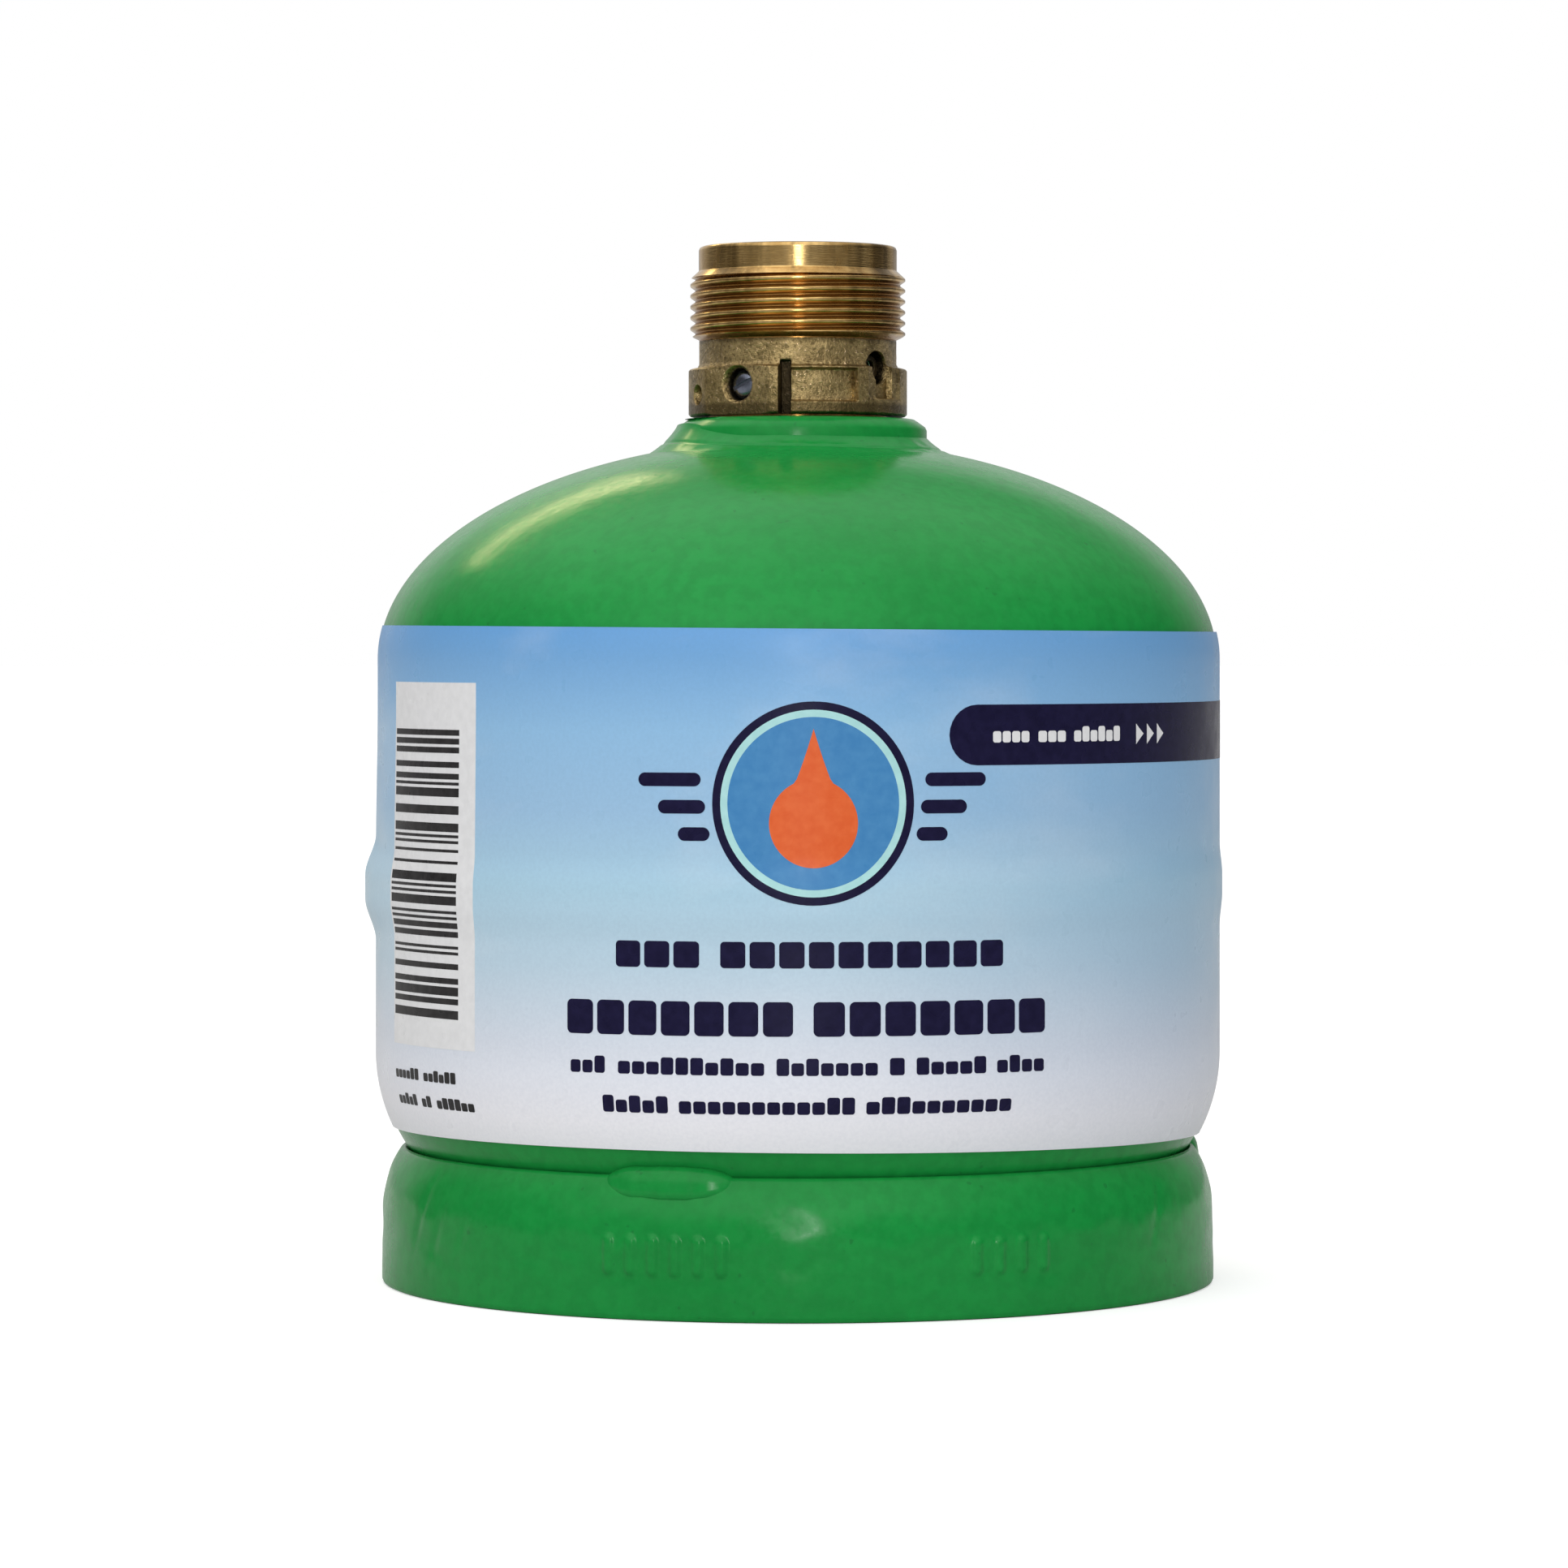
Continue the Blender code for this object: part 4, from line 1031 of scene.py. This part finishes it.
def print_badge(sky, pale, orange):
    """A pale ring, a sky blue field and an orange drop, each on top of the last."""
    ring = Print(0.042)
    ring.disc(BADGE_AZIMUTH, BADGE_HEIGHT, BADGE_RADIUS - 0.9)
    ring.finish("print_pale", pale)
    field = Print(0.054)
    field.disc(BADGE_AZIMUTH, BADGE_HEIGHT, BADGE_RADIUS - 1.7)
    field.finish("print_sky", sky)
    drop = Print(0.066)
    drop.disc(BADGE_AZIMUTH, BADGE_HEIGHT - 2.2, 4.9, rise=10.4, steps=40)
    drop.finish("print_orange", orange)


def print_white(ink):
    """The panel under the stripes, and what the tab says."""
    panel = Print(0.018)
    panel.bar(*PANEL, rounded=(False, False))
    panel.finish("print_panel", ink)
    marks = Print(0.046)
    text_line(marks, random.Random(5), *TAB_LINE)
    for number in range(3):
        azimuth = 50.2 + 2.4 * number
        across = np.array((0.0, 0.7, 1.4))
        marks.shape(azimuth, across, (63.4, 64.0, 64.56), (65.7, 65.1, 64.58))
    marks.finish("print_marks", ink)


def print_black(ink):
    """Random stripes, with two lines of small print below them."""
    sheet = Print(0.030)
    draw = random.Random(12)
    first, last, place, high = STRIPES
    while place < high - 0.9:
        width = STRIPE * draw.choice((1, 1, 2, 3))
        sheet.bar(first, last, place, min(place + width, high), rounded=(False, False))
        place += width + STRIPE * draw.choice((1, 1, 2, 3))
    for line in CODE_LINES:
        text_line(sheet, draw, *line)
    sheet.finish("print_black", ink)


# --- valve ------------------------------------------------------------------------------------


# a side feature is shaped within this angle of its middle, in radians, and is nowhere beyond it
WIDEST = 1.2
FAR_OUT = 99.0


def valve_azimuths():
    """Finer columns at the front, where the valve's side features are."""
    front = np.arange(-80.0, 75.0, 0.4)
    back = np.arange(75.0, 280.0, 1.0)
    return np.concatenate([front, back])


def thread_radius(azimuths, heights):
    """The right-hand outlet thread: a helix with a narrow flat crest and a rounded root."""
    phase = (heights - THREAD_BOTTOM) / THREAD_PITCH - azimuths / 360.0
    away = np.abs(phase - np.round(phase)) * 2.0
    slope = 1.0 - 0.4 * smooth_step(away, 0.18, 0.95) - 0.6 * np.clip((away - 0.20) / 0.70, 0.0, 1.0)
    return THREAD_ROOT + (THREAD_RADIUS - THREAD_ROOT) * slope


def turned_radius(azimuths, heights):
    """The valve's turned outside before its side features are cut."""
    keys = (
        (SKIRT_BOTTOM, SKIRT_RADIUS - 0.25),
        (SKIRT_BOTTOM + 0.25, SKIRT_RADIUS),
        (SKIRT_TOP, SKIRT_RADIUS),
        (SKIRT_TOP + 0.2, SKIRT_RADIUS - 0.18),
        (NECK_BOTTOM - 0.2, NECK_RADIUS + 0.2),
        (NECK_BOTTOM + 0.2, NECK_RADIUS),
        (NECK_TOP, NECK_RADIUS),
        (THREAD_BOTTOM + 0.15, THREAD_RADIUS + 0.1),
        (RAMP_BOTTOM - 0.2, THREAD_RADIUS + 0.1),
        (RAMP_BOTTOM, THREAD_RADIUS - 0.06),
        (COLLAR_BOTTOM - 0.06, COLLAR_RADIUS + 0.08),
        (COLLAR_BOTTOM, COLLAR_RADIUS),
        (VALVE_TOP - 0.45, COLLAR_RADIUS),
        (VALVE_TOP - 0.13, COLLAR_RADIUS - 0.13),
        (VALVE_TOP, COLLAR_RADIUS - 0.45),
    )
    places, radii = zip(*keys)
    plain = np.interp(heights, places, radii)
    threaded = (heights > NECK_TOP) & (heights < RAMP_BOTTOM)
    thread = thread_radius(azimuths, heights)
    return np.where(threaded, np.minimum(plain, np.maximum(thread, COLLAR_RADIUS)), plain)


def soft_minimum(first, second, softness=0.12):
    """The smaller of two radii, with the corner between them rounded."""
    share = np.clip(0.5 + 0.5 * (second - first) / softness, 0.0, 1.0)
    return second * (1.0 - share) + first * share - softness * share * (1.0 - share)


def sunk(radius, inside, floor):
    """Sinks the surface to a floor radius where inside is 1."""
    return radius + (np.minimum(floor, radius) - radius) * inside


def plane_radius(azimuths, azimuth, distance):
    """The radius of an upright plane that faces an azimuth, and far out where it has none."""
    turn = turn_from(azimuths, azimuth)
    facing = np.cos(np.clip(turn, -WIDEST, WIDEST))
    return np.where(np.abs(turn) < WIDEST, distance / facing, FAR_OUT)


def turn_from(azimuths, azimuth):
    """The angle from an azimuth, in radians, within half a turn of 0."""
    return (np.radians(azimuths - azimuth) + math.pi) % math.tau - math.pi


def sideways(radius, azimuths, azimuth):
    """How far a point on the surface is to the side of an azimuth's upright plane."""
    turn = turn_from(azimuths, azimuth)
    return np.where(np.abs(turn) < WIDEST, radius * np.sin(turn), FAR_OUT)


def window(azimuths, heights, azimuth_range, height_range, edge=0.5, rise=0.35):
    """1 inside a window of azimuth and height, with soft edges."""
    middle = 0.5 * (azimuth_range[0] + azimuth_range[1])
    half = 0.5 * (azimuth_range[1] - azimuth_range[0])
    away = np.abs(wrapped(azimuths - middle))
    side = 1.0 - smooth_step(away, half - edge, half + edge)
    low = smooth_step(heights, height_range[0] - 0.5 * rise, height_range[0] + 0.5 * rise)
    high = 1.0 - smooth_step(heights, height_range[1] - 0.5 * rise, height_range[1] + 0.5 * rise)
    return side * low * high


def bore(radius, azimuths, heights, azimuth, height, size, floor, lip=0.0):
    """A round radial hole down to a floor radius, with a chamfered lip."""
    away = np.hypot(sideways(radius, azimuths, azimuth), heights - height)
    if lip:
        radius = radius - lip * (1.0 - smooth_step(away, size, size + lip))
    return sunk(radius, 1.0 - smooth_step(away, size - 0.07, size + 0.07), floor)


def valve_radius(azimuths, heights):
    """The finished outside of the valve, and 1 where its surface is machined."""
    radius = turned_radius(azimuths, heights)
    machined = (heights > NECK_TOP - 0.2).astype(float)
    forged_grain = 0.02 * wander(azimuths + heights * 37.0, 61, 24, first=40)
    radius = radius + forged_grain * (1.0 - machined)
    for half_turn in (0.0, 180.0):
        groove = window(azimuths, heights, (half_turn - 10.0, half_turn - 4.0), (100.9, 107.5))
        ledges = (RECESS_BOTTOM, 106.55)
        recess = window(azimuths, heights, (half_turn - 5.0, half_turn + 33.0), ledges, rise=0.3)
        radius = sunk(radius, recess, RECESS_RADIUS + forged_grain)
        radius = sunk(radius, groove, GROOVE_RADIUS)
        flat = plane_radius(azimuths, BLEED_AZIMUTH + half_turn, 12.0)
        radius = np.where(heights < NECK_BOTTOM + 0.4, soft_minimum(radius, flat), radius)
    pocket_azimuth = RELIEF_AZIMUTH + 4.0
    across = np.abs(sideways(radius, azimuths, pocket_azimuth))
    pocket = (1.0 - smooth_step(across, 2.9, 3.2)) * smooth_step(heights, 103.0, 103.35)
    pocket = pocket * (1.0 - smooth_step(heights, 107.7, 108.1))
    radius = sunk(radius, pocket, plane_radius(azimuths, pocket_azimuth, 12.40))
    slot = (1.0 - smooth_step(across, 1.5, 1.68)) * smooth_step(heights, 103.1, 103.3)
    slot = slot * (1.0 - smooth_step(heights, RELIEF_HEIGHT - 0.1, RELIEF_HEIGHT + 0.1))
    radius = sunk(radius, slot, 11.85)
    radius = bore(radius, azimuths, heights, RELIEF_AZIMUTH + 2.5, RELIEF_HEIGHT, 1.9, 9.6)
    radius = bore(radius, azimuths, heights, BLEED_AZIMUTH, BLEED_HEIGHT, 1.85, 10.2, lip=0.4)
    radius = bore(radius, azimuths, heights, VENT_AZIMUTH, VENT_HEIGHT, 1.1, 11.3, lip=0.15)
    radius = bore(radius, azimuths, heights, VENT_AZIMUTH, VENT_HEIGHT, 0.6, 10.2)
    return np.minimum(radius, SKIRT_RADIUS), machined


def valve_body(machined_material, forged_material):
    """The brass body, with its machined faces in one material and its forged faces in another."""
    azimuths = valve_azimuths()
    edge = VALVE_TOP - 0.45
    top_edge = np.linspace(VALVE_TOP, edge, 6)[:-1]
    side = np.arange(edge, SKIRT_BOTTOM, -0.075)
    outer_heights = np.concatenate([top_edge, side, [SKIRT_BOTTOM]])
    heights = np.repeat(outer_heights[:, None], len(azimuths), axis=1)
    outer, machined = valve_radius(azimuths[None, :], heights)
    below = [(10.6, SKIRT_BOTTOM), (10.2, VALVE_BOTTOM + 0.6), (9.6, VALVE_BOTTOM), (5.2, VALVE_BOTTOM)]
    inside = [(5.2, 107.5), (2.9, 107.5), (2.9, 110.2), (8.0, 110.2), (8.2, 110.4)]
    throat = ((8.2, 0.85), (8.35, 0.55), (8.85, 0.08), (9.05, 0.0))
    throat = [(radius, VALVE_TOP - down) for radius, down in throat]
    closing_radius, closing_height = swept(below + inside + throat, len(azimuths))
    radius = np.concatenate([outer, closing_radius])
    height = np.concatenate([heights, closing_height])
    mesh = ring_mesh("brass_valve_body", radius, height, azimuths, math.radians(50.0))
    make_piece(mesh, "machined_brass", machined_material, forged_material, stands_for="valve_body")
    smooth_rows = np.concatenate([machined > 0.5, np.ones(closing_radius.shape, bool)])
    forged_faces = ~(smooth_rows & np.roll(smooth_rows, -1, axis=0))
    mesh.polygons.foreach_set("material_index", forged_faces.reshape(-1).astype(np.int32))


def bleed_screw(steel):
    """The slotted screw in the port at the left front."""
    outline = [(0.0, 11.16), (0.7, 11.14), (1.2, 11.04), (1.48, 10.84), (1.55, 10.65)]
    outline += [(1.1, 10.65), (1.1, 9.9), (0.3, 8.8), (0.0, 8.8)]
    mesh = lathe_solid("slotted_bleed_screw", outline, 64)
    blank = put("blank", mesh)
    slot = slot_cutter()
    cut = blank.modifiers.new("slot", "BOOLEAN")
    cut.operation = "DIFFERENCE"
    cut.object = slot
    bpy.context.view_layer.update()
    depsgraph = bpy.context.evaluated_depsgraph_get()
    done = bpy.data.meshes.new_from_object(blank.evaluated_get(depsgraph))
    bpy.data.objects.remove(blank)
    bpy.data.objects.remove(slot)
    bpy.data.meshes.remove(mesh)
    done.name = "slotted_bleed_screw"
    done.transform(outward_matrix(BLEED_AZIMUTH, BLEED_HEIGHT))
    done.shade_smooth()
    done.set_sharp_from_angle(angle=SHARP_ANGLE)
    done.materials.clear()
    make_piece(done, "plated_steel", steel, body="bleed_screw", stands_for="bleed_screw")


def slot_cutter():
    """A block across the screw's head, turned a little."""
    width, depth, far = 0.24 * MM, 10.85 * MM, 3.0 * MM
    corners = [(x, y, z) for x in (-far, far) for y in (-width, width) for z in (depth, depth + far)]
    ends = [(0, 1, 3, 2), (4, 6, 7, 5)]
    sides = [(0, 4, 5, 1), (2, 3, 7, 6), (0, 2, 6, 4), (1, 5, 7, 3)]
    mesh = bpy.data.meshes.new("slot")
    mesh.from_pydata(corners, [], ends + sides)
    cutter = put("slot", mesh)
    cutter.matrix_world = Matrix.Rotation(math.radians(24.0), 4, "Z")
    return cutter


def relief_plug(brass):
    section = [(1.3, 10.95), (1.5, 10.85), (1.5, 10.6), (0.8, 10.6), (0.8, 10.85), (0.9, 10.95)]
    mesh = lathe_ring("brass_relief_plug", section, 64)
    mesh.transform(outward_matrix(RELIEF_AZIMUTH, RELIEF_HEIGHT))
    make_piece(mesh, "machined_brass", brass, stands_for="relief_plug")


def throat_pieces(brass, rubber):
    """What shows down the throat: the gasket and the poppet's stem."""
    gasket = [(5.4, 111.8), (7.8, 111.8), (8.0, 111.6), (8.0, 110.35), (5.2, 110.35), (5.2, 111.6)]
    mesh = lathe_ring("rubber_throat_gasket", gasket, 96)
    make_piece(mesh, "black_rubber", rubber, stands_for="throat_gasket")
    outline = [(0.0, 112.0), (1.0, 112.0), (1.35, 111.9), (1.5, 111.6), (1.5, 105.9), (4.1, 105.9)]
    outline += [(4.3, 105.7), (4.3, 104.3), (4.0, 104.0), (1.4, 104.0), (1.4, 92.3), (1.1, 92.0)]
    mesh = lathe_solid("brass_check_poppet", outline + [(0.0, 92.0)], 64)
    make_piece(mesh, "machined_brass", brass, body="check_poppet", stands_for="check_poppet")


def coil_spring(name, node_name, radius, wire, ends, turns, steel, place):
    """A finer spring than the CAD's."""
    steps = 40
    count = turns * steps
    sides = 14
    low, high = ends
    angles = math.tau * np.arange(count + 1) / steps
    rise = (high - low - wire) * np.arange(count + 1) / count + low + 0.5 * wire
    around = math.tau * np.arange(sides)[:, None] / sides
    out = radius + 0.5 * wire * np.cos(around)
    level = rise + 0.5 * wire * np.sin(around)
    mesh = capped_tube(name, np.stack([out * np.cos(angles), out * np.sin(angles), level], axis=-1))
    mesh.transform(place)
    return make_piece(mesh, "spring_steel", steel, stands_for=node_name)


def springs(steel):
    """The two springs."""
    low, high = CHECK_SPRING_ENDS
    upright = Matrix.Identity(4)
    check = coil_spring("check_valve_spring", "check_spring", 3.6, 0.6, (low, high), 6, steel, upright)
    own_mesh(check)
    low, high = RELIEF_SPRING_ENDS
    place = outward_matrix(RELIEF_AZIMUTH, RELIEF_HEIGHT)
    relief = coil_spring("relief_valve_spring", "relief_spring", 0.95, 0.26, (low, high), 3, steel, place)
    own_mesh(relief)


def dress_hidden_nodes(finishes):
    """Gives the CAD nodes that stay as they are their procedural materials."""
    for name, material in finishes.items():
        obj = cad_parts[name]
        for slot in obj.material_slots:
            slot.material = material


# --- assembly ---------------------------------------------------------------------------------


def build():
    make_camera()
    make_stage()

    paint = paint_material()
    upper_shell(paint)
    lower_shell(paint)
    valve_boss(paint)
    boss_weld(paint)
    foot_ring(paint)
    for number, azimuth in enumerate(TACK_AZIMUTHS, start=1):
        tack_weld(number, azimuth, paint)

    girth_weld(paint)
    label_wrap(film_material())
    print_navy(ink_material("navy_ink", (0.0075, 0.006, 0.032), (0.012, 0.010, 0.045)))
    sky = ink_material("sky_ink", (0.06, 0.24, 0.52), (0.08, 0.28, 0.56))
    pale = ink_material("pale_ink", (0.42, 0.74, 0.74), (0.48, 0.80, 0.80))
    orange = ink_material("orange_ink", (0.78, 0.125, 0.030), (0.84, 0.16, 0.045))
    print_badge(sky, pale, orange)
    print_white(ink_material("white_ink", (0.80, 0.80, 0.81), (0.86, 0.86, 0.87)))
    print_black(ink_material("black_ink", (0.018, 0.017, 0.018), (0.035, 0.033, 0.034)))

    machined = machined_brass()
    rubber = rubber_material()
    spring_steel = steel_material("spring_steel", (0.50, 0.50, 0.51), (0.40, 0.40, 0.41), 0.30)
    # the bleed screw's colour is partly its own blue-grey plating and partly painted shade of its deep port
    plated = steel_material("plated_steel", (0.24, 0.26, 0.33), (0.10, 0.11, 0.14), 0.24)
    forged = forged_brass()
    valve_body(machined, forged)
    bleed_screw(plated)
    relief_plug(forged)
    throat_pieces(machined, rubber)
    springs(spring_steel)
    dress_hidden_nodes({
        "poppet_seal": rubber,
        "spring_cage": machined,
        "bleed_o_ring": rubber,
        "dip_tube": machined,
        "relief_seal": rubber,
        "relief_poppet": machined,
    })


build()
